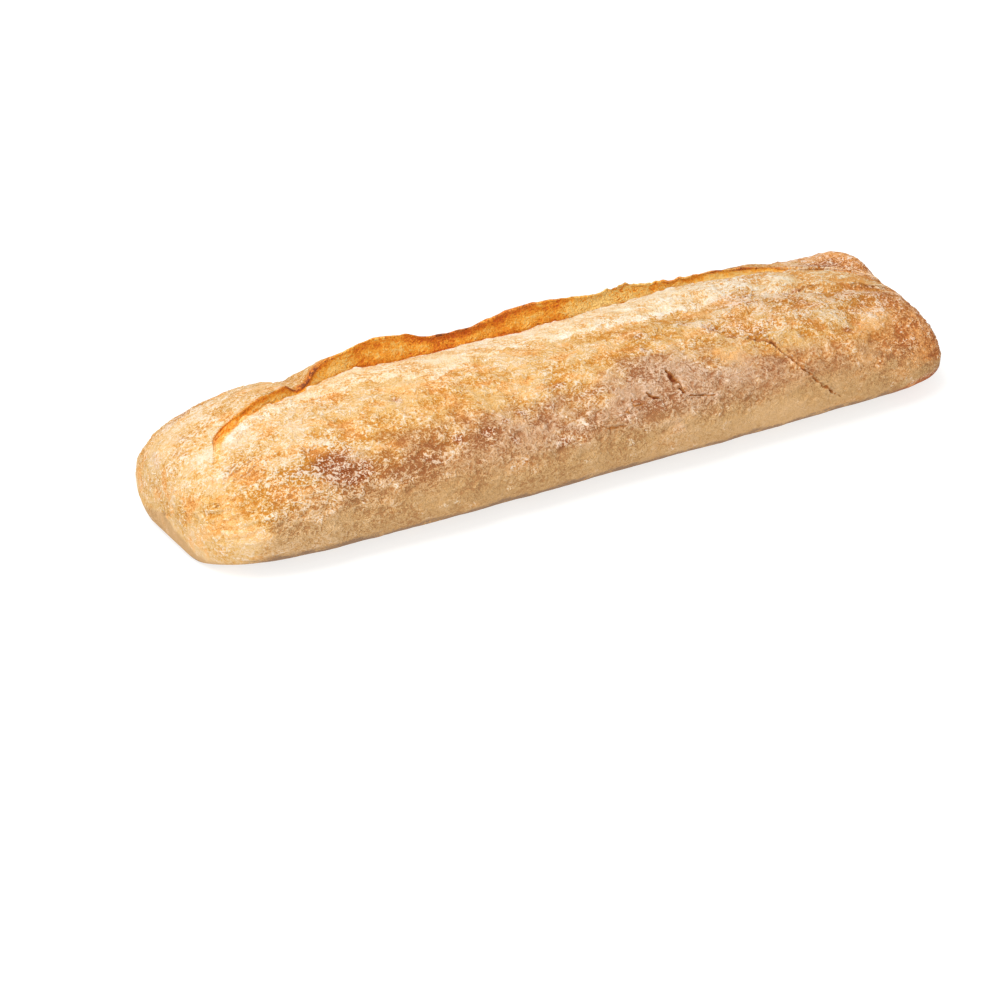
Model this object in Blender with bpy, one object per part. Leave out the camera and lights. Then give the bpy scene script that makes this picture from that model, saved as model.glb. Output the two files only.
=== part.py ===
"""A whole batard loaf, one solid of baked dough, resting on its flat base.

Metres, +Z up. The loaf lies along X, its origin under the middle of the base. The near side is -Y and the
far side +Y. A long slash runs from low on the -X end to the far side of the crest. The dough in front of
the slash has swelled into a pale bloom, and the crust behind it has lifted into an ear.

The skin is a sphere's mesh laid onto the loaf. Each ring of the sphere is a station along the loaf, and
each point of a ring is a row of the section: up the near crust, over the bloom, down into the slash, up
the face of the ear, over its rim and down the far crust.
"""

import math
from bisect import bisect_right

import bmesh
import bpy

MM = 0.001

# Overall size of the loaf without its ear.
LOAF_LENGTH = 340.0 * MM
LOAF_WIDTH = 97.1 * MM
CREST_HEIGHT = 44.2 * MM
BELT_HEIGHT = 15.2 * MM
LEFT_NOSE_HEIGHT = 12.0 * MM
RIGHT_NOSE_HEIGHT = 9.0 * MM

# How blunt the ends are, seen from above and seen from the side, and how domed their tips are.
LEFT_END_BLUNTNESS = 9.0
RIGHT_END_BLUNTNESS = 13.0
LEFT_NOSE_BLUNTNESS = 6.5
RIGHT_NOSE_BLUNTNESS = 3.3
TIP_FLATNESS = 4.0
END_FLARE = 0.03
SIDEWAYS_BOW = 3.2 * MM

# Roundness of the section, as exponents of the sine and cosine of the angle round it.
DOME_POWER = 1.10
UNDERSIDE_POWER = 0.83
BASE_CUT = 1.12
BASE_LIFT_AT_ENDS = 1.6

# The slash: place along the loaf, from -1 to 1, and angle round the section, 180 at the crest.
SLASH_ANGLE = ((-0.96, 138), (-0.94, 147), (-0.915, 160), (-0.885, 173), (-0.81, 180), (-0.74, 185),
               (-0.66, 191), (-0.55, 202), (-0.38, 209), (0.0, 211), (0.40, 216), (0.62, 214), (0.78, 204),
               (0.90, 196), (0.97, 186))
# The bloom's near edge, as the angle where the dough tore away from the near crust.
BLOOM_EDGE_ANGLE = ((-0.96, 128), (-0.88, 158), (-0.80, 171), (-0.55, 183), (-0.35, 173), (-0.15, 182),
                    (0.30, 178), (0.53, 181), (0.66, 175), (0.75, 171), (0.97, 168))
# How far the bloom swells out of the section, and how deep the crease at its near edge is.
BLOOM_SWELL = ((-0.97, 0.0), (-0.85, 0.9), (-0.70, 1.1), (-0.45, 1.0), (-0.15, 0.0), (0.05, 0.9), (0.35, 2.4),
               (0.60, 2.3), (0.80, 1.0), (0.97, 0.0))
CREASE_DEPTH = ((-0.40, 0.0), (-0.15, 0.5), (0.20, 0.5), (0.55, 1.0), (0.75, 1.5), (0.92, 0.8), (0.98, 0.0))
# How high the ear's torn rim stands behind the slash, in millimetres over the plain section: first a small
# step, then a notch, then the long ear with its dip.
EAR_RISE = ((-0.93, 0.0), (-0.86, 0.9), (-0.80, 2.4), (-0.74, 4.6), (-0.68, 5.2), (-0.635, 0.8), (-0.61, 1.2),
            (-0.585, 6.0), (-0.555, 8.1), (-0.50, 9.1), (-0.41, 11.8), (-0.32, 10.8), (-0.26, 7.2), (-0.18, 6.8),
            (-0.02, 11.8), (0.10, 9.9), (0.19, 8.3), (0.28, 8.8), (0.37, 5.6), (0.43, 4.3), (0.52, 4.9),
            (0.64, 3.4), (0.76, 0.4), (0.90, 0.0))
# How much the crust farther back swells, in millimetres over the plain section.
FAR_SWELL = ((-0.99, 0.0), (-0.93, 0.4), (-0.84, 1.4), (-0.74, 2.3), (-0.66, 2.2), (-0.60, 0.8), (-0.56, 0.0),
             (0.20, 0.0), (0.35, 1.6), (0.50, 2.8), (0.64, 4.4), (0.72, 5.6), (0.80, 5.2), (0.86, 5.3),
             (0.91, 7.6), (0.95, 9.8), (0.985, 10.5), (0.998, 5.5))
# How steeply the ear falls away behind its rim, how far it leans over the slash, and how thick its lip is.
EAR_CURL = 2.2
EAR_LEAN = 1.2 * MM
EAR_LEAN_REACH = 0.35
EAR_THICKNESS = 2.0 * MM
EAR_UNDERCUT = 1.8 * MM
# The rise at which an ear leans and is undercut by the whole amount.
FULL_EAR_RISE = 8.0 * MM
# Most of its own rise that the ear's lip may take up.
LIP_SHARE = 0.45
# How deep the slash is below the bloom: a least depth and a share of the rise, up to the most.
LEAST_SLASH_DEPTH = 0.2 * MM
SLASH_DEPTH_SHARE = 0.6
SLASH_DEPTH = 2.6 * MM
LEAST_SLASH_STEP = 0.5 * MM
# The swell behind the slash: the share of it at the slash itself, how far round it is whole, and the angle on
# the far side at which swell and ear have died out.
SWELL_START = 0.15
SWELL_PEAK = 0.36
RISE_END_ANGLE = 282.0
# Shares of the near crust and of the bloom that the crease between them takes, and where the bloom drops.
CREASE_START = 0.93
CREASE_END = 0.16
BLOOM_DROP_START = 0.76
BLOOM_ROUNDNESS = 0.7
LEAST_BLOOM_TURN = 6.0

# Gentle unevenness of the whole loaf, as waves of (length along, length across, phase in turns, height), and
# a broad dent in the near side. Both fade out towards the flat base.
LIFT_WAVES = ((0.083, 0.310, 0.12, 0.34 * MM), (0.051, 0.090, 0.71, 0.24 * MM),
              (0.137, 0.071, 0.43, 0.26 * MM))
SIDE_WAVES = ((0.094, 0.120, 0.30, 0.40 * MM), (0.058, 0.055, 0.86, 0.26 * MM))
UNEVEN_FROM_HEIGHT = 2.0 * MM
UNEVEN_FULL_HEIGHT = 16.0 * MM
DENT_PLACE = (0.074, -0.024)
DENT_RADIUS = 17.0 * MM
DENT_DEPTH = 1.1 * MM

# Usual angles that the near crust and the far crust take up, and what the ear's rounded top takes.
NEAR_CRUST_TURN = 176.0
FAR_CRUST_TURN = 150.0
EAR_TOP_TURN = 1.5

# Rows of the section, from the middle of the base round by the near side.
NEAR_CRUST_ROWS = 21
BLOOM_ROWS = 8
EAR_FACE_ROWS = 5
FAR_CRUST_ROWS = 24
STATIONS = 54

CRUST_COLOR = (0.70, 0.40, 0.15, 1.0)
CRUST_ROUGHNESS = 0.7


def through(knots, place):
    """Value at a place on the smooth curve through (place, value) knots, level beyond both ends."""
    places = [knot[0] for knot in knots]
    values = [knot[1] for knot in knots]
    if place <= places[0]:
        return values[0]
    if place >= places[-1]:
        return values[-1]
    left = bisect_right(places, place) - 1
    width = places[left + 1] - places[left]
    share = (place - places[left]) / width
    start, end = tangent(places, values, left), tangent(places, values, left + 1)
    rise = values[left + 1] - values[left]
    curve = rise * share * share * (3.0 - 2.0 * share)
    ends = width * share * (1.0 - share) * (start * (1.0 - share) - end * share)
    return values[left] + curve + ends


def tangent(places, values, index):
    """Slope at a knot: level at a peak, a dip and both ends, so that the curve never overshoots."""
    if index in (0, len(places) - 1):
        return 0.0
    before = (values[index] - values[index - 1]) / (places[index] - places[index - 1])
    after = (values[index + 1] - values[index]) / (places[index + 1] - places[index])
    return 0.0 if before * after <= 0.0 else 2.0 * before * after / (before + after)


def ease(share):
    """Smooth step from 0 to 1."""
    share = min(1.0, max(0.0, share))
    return share * share * (3.0 - 2.0 * share)


def left_of_full(along, bluntness):
    """Share of the full size that a superellipse still has at a place along the loaf."""
    return max(0.0, 1.0 - abs(along) ** bluntness) ** (1.0 / TIP_FLATNESS)


class Station:
    """One cross-section of the loaf, at a place along it from -1 to 1."""

    def __init__(self, along):
        self.along = along
        plan = left_of_full(along, LEFT_END_BLUNTNESS if along < 0 else RIGHT_END_BLUNTNESS)
        nose = left_of_full(along, LEFT_NOSE_BLUNTNESS if along < 0 else RIGHT_NOSE_BLUNTNESS)
        flare = 1.0 + END_FLARE * abs(along)
        self.x = along * LOAF_LENGTH / 2
        self.middle = SIDEWAYS_BOW * (along * along - 0.3)
        self.half_width = LOAF_WIDTH / 2 * plan * flare
        tip = LEFT_NOSE_HEIGHT if along < 0 else RIGHT_NOSE_HEIGHT
        self.crest = tip + (CREST_HEIGHT - tip) * nose * flare
        self.belt = tip + (BELT_HEIGHT - tip) * nose
        self.base = tip * (1.0 - min(1.0, nose * BASE_LIFT_AT_ENDS))
        self.fade = min(1.0, plan * 1.15)
        self.slash = through(SLASH_ANGLE, along)
        self.bloom_edge = min(through(BLOOM_EDGE_ANGLE, along), self.slash - LEAST_BLOOM_TURN)
        self.ear = max(LEAST_SLASH_STEP, through(EAR_RISE, along) * MM) * self.fade
        self.swell = through(FAR_SWELL, along) * MM * self.fade
        self.full_ear = min(1.0, self.ear / FULL_EAR_RISE)

    def plain(self, angle):
        """(y, z) on the plain section, at an angle of 0 under the middle, 90 near, 180 on top and 270 far."""
        turn = math.radians(angle)
        across, up = math.sin(turn), -math.cos(turn)
        if up >= 0.0:
            return -self.half_width * across, self.belt + (self.crest - self.belt) * up ** DOME_POWER
        y = -self.half_width * math.copysign(abs(across) ** UNDERSIDE_POWER, across)
        z = self.belt - (self.belt - self.base) * BASE_CUT * (-up) ** UNDERSIDE_POWER
        return y, max(z, self.base)

    def outward(self, angle, amount):
        """(y, z) an amount outside the plain section."""
        y, z = self.plain(angle)
        back_y, back_z = self.plain(angle - 1.0)
        on_y, on_z = self.plain(angle + 1.0)
        run_y, run_z = on_y - back_y, on_z - back_z
        length = math.hypot(run_y, run_z) or 1.0
        return y - amount * run_z / length, z + amount * run_y / length

    def near_crust(self, share):
        """(y, z) up the near side, with share from 0 under the middle to 1 at the bloom's near edge."""
        angle = share * NEAR_CRUST_TURN + (self.bloom_edge - NEAR_CRUST_TURN) * share ** 4
        crease = through(CREASE_DEPTH, self.along) * MM * self.fade
        return self.outward(angle, -crease * ease((share - CREASE_START) / (1.0 - CREASE_START)))

    def bloom(self, share):
        """(y, z) over the bloom, with share from 0 at its near edge to 1 at the bottom of the slash."""
        angle = self.bloom_edge + share * (self.slash - self.bloom_edge)
        crease = through(CREASE_DEPTH, self.along) * MM * (1.0 - ease(share / CREASE_END))
        swell = through(BLOOM_SWELL, self.along) * MM * max(0.0, math.sin(math.pi * share)) ** BLOOM_ROUNDNESS
        deep = min(SLASH_DEPTH, LEAST_SLASH_DEPTH + (self.ear + self.swell) * SLASH_DEPTH_SHARE)
        fall = deep * ease((share - BLOOM_DROP_START) / (1.0 - BLOOM_DROP_START))
        return self.outward(angle, (swell - crease - fall) * self.fade)

    def far_crust(self, share):
        """(y, z) down the far side, with share from 0 at the ear's rim to 1 under the middle."""
        left = 1.0 - share
        top = self.slash + EAR_TOP_TURN
        angle = 360.0 - left * FAR_CRUST_TURN + (top - 360.0 + FAR_CRUST_TURN) * left ** 4
        y, z = self.plain(angle)
        side = min(1.0, (angle - self.slash) / (RISE_END_ANGLE - self.slash))
        swell = (SWELL_START + (1.0 - SWELL_START) * ease(side / SWELL_PEAK)) * (1.0 - side * side)
        lift = self.ear * (1.0 - side) ** EAR_CURL + self.swell * swell
        lean = EAR_LEAN * self.full_ear * (1.0 - ease(side / EAR_LEAN_REACH))
        return y - lean, z + lift

    def ear_face(self, share):
        """(y, z) up the torn face of the ear, with share from 0 in the slash to 1 under the rim."""
        foot_y, foot_z = self.bloom(1.0)
        rim_y, rim_z = self.far_crust(0.0)
        thick = min(EAR_THICKNESS, self.ear * LIP_SHARE)
        lip_y, lip_z = rim_y - 0.1 * thick, rim_z - 0.7 * thick
        hollow = EAR_UNDERCUT * self.full_ear * math.sin(math.pi * (0.12 + 0.80 * share))
        return foot_y + (lip_y - foot_y) * share + hollow, foot_z + (lip_z - foot_z) * share

    def point(self, row):
        """Place of a row of the section in the loaf's frame."""
        if row < NEAR_CRUST_ROWS:
            y, z = self.near_crust(row / NEAR_CRUST_ROWS)
        elif row < NEAR_CRUST_ROWS + BLOOM_ROWS:
            y, z = self.bloom((row - NEAR_CRUST_ROWS) / BLOOM_ROWS)
        elif row < NEAR_CRUST_ROWS + BLOOM_ROWS + EAR_FACE_ROWS:
            y, z = self.ear_face((row - NEAR_CRUST_ROWS - BLOOM_ROWS) / (EAR_FACE_ROWS - 1))
        else:
            start = NEAR_CRUST_ROWS + BLOOM_ROWS + EAR_FACE_ROWS
            y, z = self.far_crust((row - start) / FAR_CRUST_ROWS)
        return uneven(self.x, y + self.middle, z)


def wander(waves, along, across):
    """Sum of the waves at a point of a plane."""
    total = 0.0
    for long, wide, phase, height in waves:
        total += height * math.sin(2.0 * math.pi * (along / long + across / wide + phase))
    return total


def uneven(x, y, z):
    """A point of the even loaf moved to its place on the uneven one."""
    share = ease((z - UNEVEN_FROM_HEIGHT) / (UNEVEN_FULL_HEIGHT - UNEVEN_FROM_HEIGHT))
    away = math.hypot(x - DENT_PLACE[0], y - DENT_PLACE[1]) / DENT_RADIUS
    dent = DENT_DEPTH * math.exp(-away * away)
    return x, y + share * wander(SIDE_WAVES, x, z), z + share * (wander(LIFT_WAVES, x, y) - dent)


def places_along():
    """Places of the stations from -1 to 1, evenly spaced over the outline seen from above."""
    fine = 4000
    outline = []
    for step in range(fine + 1):
        along = math.sin(math.pi * (step / fine - 0.5))
        plan = left_of_full(along, LEFT_END_BLUNTNESS if along < 0 else RIGHT_END_BLUNTNESS)
        outline.append((along, along * LOAF_LENGTH / 2, plan * LOAF_WIDTH / 2))
    lengths = [0.0]
    for before, after in zip(outline, outline[1:]):
        lengths.append(lengths[-1] + math.hypot(after[1] - before[1], after[2] - before[2]))
    wanted = [lengths[-1] * ring / STATIONS for ring in range(STATIONS + 1)]
    return [outline[min(fine, bisect_right(lengths, length))][0] for length in wanted]


def lay_on_loaf(skin, rows):
    """Moves each point of a unit sphere, poles on Z, to its station and row on the loaf."""
    places = places_along()
    stations = [Station(along) for along in places]
    for point in skin.verts:
        ring = round(math.acos(max(-1.0, min(1.0, point.co.z))) / math.pi * STATIONS)
        if ring in (0, STATIONS):
            point.co = uneven(stations[ring].x, stations[ring].middle, stations[ring].belt)
            continue
        row = round(math.atan2(point.co.y, point.co.x) / (2.0 * math.pi) * rows) % rows
        point.co = stations[ring].point(row)


def crust_material():
    """Golden brown crust."""
    material = bpy.data.materials.new("crust")
    material.use_nodes = True
    shader = material.node_tree.nodes["Principled BSDF"]
    shader.inputs["Base Color"].default_value = CRUST_COLOR
    shader.inputs["Roughness"].default_value = CRUST_ROUGHNESS
    shader.inputs["Metallic"].default_value = 0.0
    material.diffuse_color = CRUST_COLOR
    return material


def make_loaf(collection):
    """The loaf as one closed mesh in the given collection."""
    rows = NEAR_CRUST_ROWS + BLOOM_ROWS + EAR_FACE_ROWS + FAR_CRUST_ROWS
    skin = bmesh.new()
    bmesh.ops.create_uvsphere(skin, u_segments=rows, v_segments=STATIONS, radius=1.0)
    lay_on_loaf(skin, rows)
    bmesh.ops.triangulate(skin, faces=skin.faces, quad_method="SHORT_EDGE")
    mesh = bpy.data.meshes.new("batard_loaf")
    skin.to_mesh(mesh)
    skin.free()
    mesh.shade_smooth()
    mesh.materials.append(crust_material())
    loaf = bpy.data.objects.new("batard_loaf", mesh)
    collection.objects.link(loaf)
    return loaf


def main():
    for found in list(bpy.data.objects):
        bpy.data.objects.remove(found)
    collection = bpy.data.collections.new("batard")
    bpy.context.scene.collection.children.link(collection)
    make_loaf(collection)


main()
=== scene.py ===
"""Looks of a whole batard loaf: floured golden crust, pale bloom, torn glossy ear, on a pale studio floor.

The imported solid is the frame. The crust replaces it with a finer skin on the same form, worked from the same
named values, and adds the wrinkles, blisters, flour, tears and cracks of the real crust.
"""

import logging
import math
from bisect import bisect_right
from collections.abc import Iterator, Sequence
from dataclasses import dataclass, field
from enum import Enum
from functools import cached_property

import bmesh
import bpy
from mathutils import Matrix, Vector, noise


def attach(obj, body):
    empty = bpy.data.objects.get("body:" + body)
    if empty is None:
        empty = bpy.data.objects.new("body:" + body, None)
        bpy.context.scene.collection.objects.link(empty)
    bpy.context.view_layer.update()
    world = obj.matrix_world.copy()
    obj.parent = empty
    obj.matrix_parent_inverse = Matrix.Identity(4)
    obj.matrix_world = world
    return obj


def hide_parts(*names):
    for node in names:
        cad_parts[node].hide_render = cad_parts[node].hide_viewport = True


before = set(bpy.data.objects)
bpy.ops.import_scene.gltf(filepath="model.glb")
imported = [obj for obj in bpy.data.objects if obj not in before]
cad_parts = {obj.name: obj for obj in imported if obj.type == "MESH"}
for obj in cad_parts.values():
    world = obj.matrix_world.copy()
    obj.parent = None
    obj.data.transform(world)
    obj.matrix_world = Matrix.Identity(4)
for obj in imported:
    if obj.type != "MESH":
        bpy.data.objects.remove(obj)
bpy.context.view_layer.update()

log = logging.getLogger("batard")

MM = 0.001
NOISE_SEED = 7
PATCH_REACH = 3.0

Pair = tuple[float, float]
Triple = tuple[float, float, float]
Color = tuple[float, float, float, float]
Socket = bpy.types.NodeSocket


def clamp(value: float, low: float = 0.0, high: float = 1.0) -> float:
    """Value kept between two bounds."""
    return min(high, max(low, value))


def ease(share: float) -> float:
    """Smooth step.

    Args:
        share: How far along the step, 0 to 1; outside it the step is level.

    Returns:
        The step's height, 0 to 1.
    """
    share = clamp(share)
    return share * share * (3.0 - 2.0 * share)


def at_least(least: float, share: float) -> float:
    """Share squeezed into the range from a least value to 1."""
    return least + (1.0 - least) * share


@dataclass(frozen=True)
class Step:
    """Smooth step along a line, 0 at its foot and full a width farther on; a negative width turns it."""

    foot: float
    width: float
    height: float = 1.0

    def at(self, place: float) -> float:
        """Height at a place."""
        return self.height * ease((place - self.foot) / self.width)


@dataclass(frozen=True)
class Hill:
    """Smooth hill along a line, between two feet."""

    start: float
    top: float
    end: float
    height: float = 1.0

    def at(self, place: float) -> float:
        """Height at a place."""
        if place < self.top:
            return self.height * ease((place - self.start) / (self.top - self.start))
        return self.height * ease((self.end - place) / (self.end - self.top))


def from_screen(red: int, green: int, blue: int) -> Color:
    """Colour given as a screen shows it.

    Args:
        red: Red, 0 to 255.
        green: Green, 0 to 255.
        blue: Blue, 0 to 255.

    Returns:
        The same colour as linear values with full alpha.
    """
    parts = []
    for part in (red, green, blue):
        share = part / 255.0
        parts.append(share / 12.92 if share <= 0.04045 else ((share + 0.055) / 1.055) ** 2.4)
    return parts[0], parts[1], parts[2], 1.0


@dataclass(frozen=True)
class Curve:
    """Smooth curve through (place, value) knots, level beyond both ends, that never overshoots a knot."""

    knots: tuple[Pair, ...]

    @classmethod
    def through(cls, *knots: Pair) -> "Curve":
        """Curve through the knots, in order."""
        return cls(knots)

    @cached_property
    def places(self) -> list[float]:
        """Places of the knots."""
        return [knot[0] for knot in self.knots]

    @cached_property
    def values(self) -> list[float]:
        """Values at the knots."""
        return [knot[1] for knot in self.knots]

    @cached_property
    def slopes(self) -> list[float]:
        """Slope at each knot: level at a peak, a dip and both ends."""
        slopes = [0.0]
        for index in range(1, len(self.knots) - 1):
            before = self._chord(index - 1)
            after = self._chord(index)
            slopes.append(0.0 if before * after <= 0.0 else 2.0 * before * after / (before + after))
        slopes.append(0.0)
        return slopes

    def _chord(self, index: int) -> float:
        """Slope of the straight line from one knot to the next."""
        rise = self.values[index + 1] - self.values[index]
        return rise / (self.places[index + 1] - self.places[index])

    def at(self, place: float) -> float:
        """Value of the curve.

        Args:
            place: Where along the curve.

        Returns:
            The value there.
        """
        if place <= self.places[0]:
            return self.values[0]
        if place >= self.places[-1]:
            return self.values[-1]
        left = bisect_right(self.places, place) - 1
        width = self.places[left + 1] - self.places[left]
        share = (place - self.places[left]) / width
        rise = self.values[left + 1] - self.values[left]
        curve = rise * share * share * (3.0 - 2.0 * share)
        ends = self.slopes[left] * (1.0 - share) - self.slopes[left + 1] * share
        return self.values[left] + curve + width * share * (1.0 - share) * ends


@dataclass(frozen=True)
class Waves:
    """Gentle waves over a plane, each as (length along, length across, phase in turns, height)."""

    parts: tuple[tuple[float, float, float, float], ...]

    @classmethod
    def of(cls, *parts: tuple[float, float, float, float]) -> "Waves":
        """Waves that add up."""
        return cls(parts)

    def at(self, along: float, across: float) -> float:
        """Height of the waves.

        Args:
            along: Place along the loaf, in metres.
            across: Place across it, in metres.

        Returns:
            The height in metres.
        """
        total = 0.0
        for long, wide, phase, height in self.parts:
            total += height * math.sin(2.0 * math.pi * (along / long + across / wide + phase))
        return total


class Zone(Enum):
    """Stretch of the section that a point lies on, from under the middle round by the near side."""

    NEAR_CRUST = "near crust"
    BLOOM = "bloom"
    EAR_FACE = "ear face"
    RIM = "rim"
    FAR_CRUST = "far crust"


@dataclass(frozen=True)
class LoafForm:
    """Sizes of the loaf's form: metres, shares of its half length, and degrees round the section."""

    length: float = 340.0 * MM
    width: float = 97.1 * MM
    crest_height: float = 44.2 * MM
    belt_height: float = 15.2 * MM
    left_nose_height: float = 12.0 * MM
    right_nose_height: float = 9.0 * MM
    left_end_bluntness: float = 9.0
    right_end_bluntness: float = 13.0
    left_nose_bluntness: float = 6.5
    right_nose_bluntness: float = 3.3
    tip_flatness: float = 4.0
    tip_fade: float = 1.15
    end_flare: float = 0.03
    sideways_bow: float = 3.2 * MM
    bow_balance: float = 0.3
    dome_power: float = 1.10
    underside_power: float = 0.83
    base_cut: float = 1.12
    base_lift_at_ends: float = 1.6
    slash_angle: Curve = Curve.through(
        (-0.96, 138.0), (-0.94, 147.0), (-0.915, 160.0), (-0.885, 173.0), (-0.81, 180.0), (-0.74, 185.0),
        (-0.66, 191.0), (-0.55, 202.0), (-0.38, 209.0), (0.0, 211.0), (0.40, 216.0), (0.62, 214.0),
        (0.78, 204.0), (0.90, 196.0), (0.97, 186.0),
    )
    bloom_edge_angle: Curve = Curve.through(
        (-0.96, 128.0), (-0.88, 158.0), (-0.80, 171.0), (-0.55, 183.0), (-0.35, 173.0), (-0.15, 182.0),
        (0.30, 178.0), (0.53, 181.0), (0.66, 175.0), (0.75, 171.0), (0.97, 168.0),
    )
    bloom_swell: Curve = Curve.through(
        (-0.97, 0.0), (-0.85, 0.9), (-0.70, 1.1), (-0.45, 1.0), (-0.15, 0.0), (0.05, 0.9), (0.35, 1.9),
        (0.60, 1.5), (0.80, 0.8), (0.97, 0.0),
    )
    crease_depth: Curve = Curve.through(
        (-0.40, 0.0), (-0.15, 0.5), (0.20, 0.6), (0.50, 1.4), (0.75, 2.0), (0.90, 1.4), (0.98, 0.0),
    )
    ear_rise: Curve = Curve.through(
        (-0.93, 0.0), (-0.86, 0.9), (-0.80, 2.4), (-0.74, 4.6), (-0.68, 5.2), (-0.635, 0.8), (-0.61, 1.2),
        (-0.585, 6.0), (-0.555, 8.1), (-0.50, 9.1), (-0.41, 11.8), (-0.32, 10.8), (-0.26, 7.2),
        (-0.18, 6.8), (-0.02, 11.8), (0.10, 9.9), (0.19, 8.3), (0.28, 8.8), (0.37, 5.6), (0.43, 4.3),
        (0.52, 4.9), (0.64, 3.4), (0.76, 0.4), (0.90, 0.0),
    )
    far_swell: Curve = Curve.through(
        (-0.99, 0.0), (-0.93, 0.4), (-0.84, 1.4), (-0.74, 2.3), (-0.66, 2.2), (-0.60, 0.8), (-0.56, 0.0),
        (0.20, 0.0), (0.35, 1.6), (0.50, 2.8), (0.64, 4.4), (0.72, 5.6), (0.80, 5.2), (0.86, 5.3),
        (0.91, 7.6), (0.95, 9.8), (0.985, 10.5), (0.998, 5.5),
    )
    ear_curl: float = 2.2
    ear_lean: float = 1.2 * MM
    ear_lean_reach: float = 0.35
    ear_thickness: float = 1.3 * MM
    ear_undercut: float = 1.0 * MM
    undercut_turn: float = 0.92
    undercut_power: float = 0.8
    full_ear_rise: float = 8.0 * MM
    lip_share: float = 0.45
    lip_set_back: float = 0.1
    lip_hang: float = 0.7
    closed_lip: float = 0.35
    rim_bulge: float = 0.3
    rim_fade: float = 18.0
    least_slash_depth: float = 0.2 * MM
    slash_depth_share: float = 0.6
    slash_depth: float = 2.6 * MM
    slash_opening: Step = Step(-0.935, 0.06)
    slash_closing: Step = Step(1.0, -0.06)
    least_slash_step: float = 0.2 * MM
    swell_start: float = 0.15
    swell_peak: float = 0.36
    rise_end_angle: float = 282.0
    crease_start: float = 0.93
    crease_end: float = 0.16
    bloom_drop_start: float = 0.72
    bloom_roundness: float = 0.7
    dip_along: Hill = Hill(0.36, 0.54, 0.74, 1.1 * MM)
    dip_across: Step = Step(0.4, 0.4)
    least_bloom_turn: float = 6.0
    lift_waves: Waves = Waves.of(
        (0.083, 0.310, 0.12, 0.34 * MM), (0.051, 0.090, 0.71, 0.24 * MM), (0.137, 0.071, 0.43, 0.26 * MM)
    )
    side_waves: Waves = Waves.of((0.094, 0.120, 0.30, 0.40 * MM), (0.058, 0.055, 0.86, 0.26 * MM))
    uneven_from_height: float = 2.0 * MM
    uneven_full_height: float = 16.0 * MM
    dent_place: Pair = (0.074, -0.024)
    dent_radius: float = 17.0 * MM
    dent_depth: float = 1.1 * MM
    near_crust_turn: float = 176.0
    far_crust_turn: float = 150.0
    ear_top_turn: float = 1.5
    turn_power: int = 4
    outline_steps: int = 4000

    def full_share(self, along: float, left_bluntness: float, right_bluntness: float) -> float:
        """Share of the full size that is left at a place along the loaf, -1 to 1."""
        bluntness = left_bluntness if along < 0 else right_bluntness
        return max(0.0, 1.0 - abs(along) ** bluntness) ** (1.0 / self.tip_flatness)

    def plan_share(self, along: float) -> float:
        """Share of the full width that is left at a place along the loaf."""
        return self.full_share(along, self.left_end_bluntness, self.right_end_bluntness)

    def nose_share(self, along: float) -> float:
        """Share of the full height over the nose that is left at a place along the loaf."""
        return self.full_share(along, self.left_nose_bluntness, self.right_nose_bluntness)

    def places_along(self, stations: int) -> list[float]:
        """Places of the stations, evenly spaced over the outline seen from above.

        Args:
            stations: How many steps the outline is cut into.

        Returns:
            The places from -1 to 1, one more than the steps.
        """
        outline = []
        for step in range(self.outline_steps + 1):
            along = math.sin(math.pi * (step / self.outline_steps - 0.5))
            outline.append((along, along * self.length / 2, self.plan_share(along) * self.width / 2))
        lengths = [0.0]
        for before, after in zip(outline, outline[1:]):
            lengths.append(lengths[-1] + math.hypot(after[1] - before[1], after[2] - before[2]))
        wanted = [lengths[-1] * ring / stations for ring in range(stations + 1)]
        return [outline[min(self.outline_steps, bisect_right(lengths, length))][0] for length in wanted]

    def uneven(self, x: float, y: float, z: float) -> Vector:
        """Moves a point of the even loaf to its place on the uneven one.

        Args:
            x: Place along the loaf, in metres.
            y: Place across it, in metres.
            z: Height, in metres.

        Returns:
            The moved point.
        """
        share = ease((z - self.uneven_from_height) / (self.uneven_full_height - self.uneven_from_height))
        away = math.hypot(x - self.dent_place[0], y - self.dent_place[1]) / self.dent_radius
        dent = self.dent_depth * math.exp(-away * away)
        lift = self.lift_waves.at(x, y) - dent
        return Vector((x, y + share * self.side_waves.at(x, z), z + share * lift))


@dataclass(frozen=True)
class RowCounts:
    """Rows of the section's skin in each zone, closer together near the top, and stations along the loaf."""

    near_crust: int = 84
    bloom: int = 36
    ear_face: int = 16
    rim: int = 6
    far_crust: int = 70
    stations: int = 396
    crowding: float = 0.72

    @property
    def total(self) -> int:
        """Rows right round the section."""
        return self.near_crust + self.bloom + self.ear_face + self.rim + self.far_crust

    def zone_of(self, row: float) -> tuple[Zone, float]:
        """Zone of a row.

        Args:
            row: Row counted round from under the middle; it may lie between two rows.

        Returns:
            The zone and the share of it that lies behind the row.
        """
        left = row
        for zone, count in self._counts():
            if left < count:
                return zone, self._spaced(zone, left / count)
            left -= count
        return Zone.FAR_CRUST, 1.0

    def _spaced(self, zone: Zone, share: float) -> float:
        """Share of a zone at an even share of its rows: rows crowd together up the sides, not underneath.

        Args:
            zone: The zone.
            share: Even share of the zone's rows.

        Returns:
            The share of the zone itself.
        """
        if zone is Zone.NEAR_CRUST:
            return share ** self.crowding
        if zone is Zone.FAR_CRUST:
            return 1.0 - (1.0 - share) ** self.crowding
        return share

    def _counts(self) -> Iterator[tuple[Zone, int]]:
        """Zones in order, each with its rows."""
        yield Zone.NEAR_CRUST, self.near_crust
        yield Zone.BLOOM, self.bloom
        yield Zone.EAR_FACE, self.ear_face
        yield Zone.RIM, self.rim
        yield Zone.FAR_CRUST, self.far_crust


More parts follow.
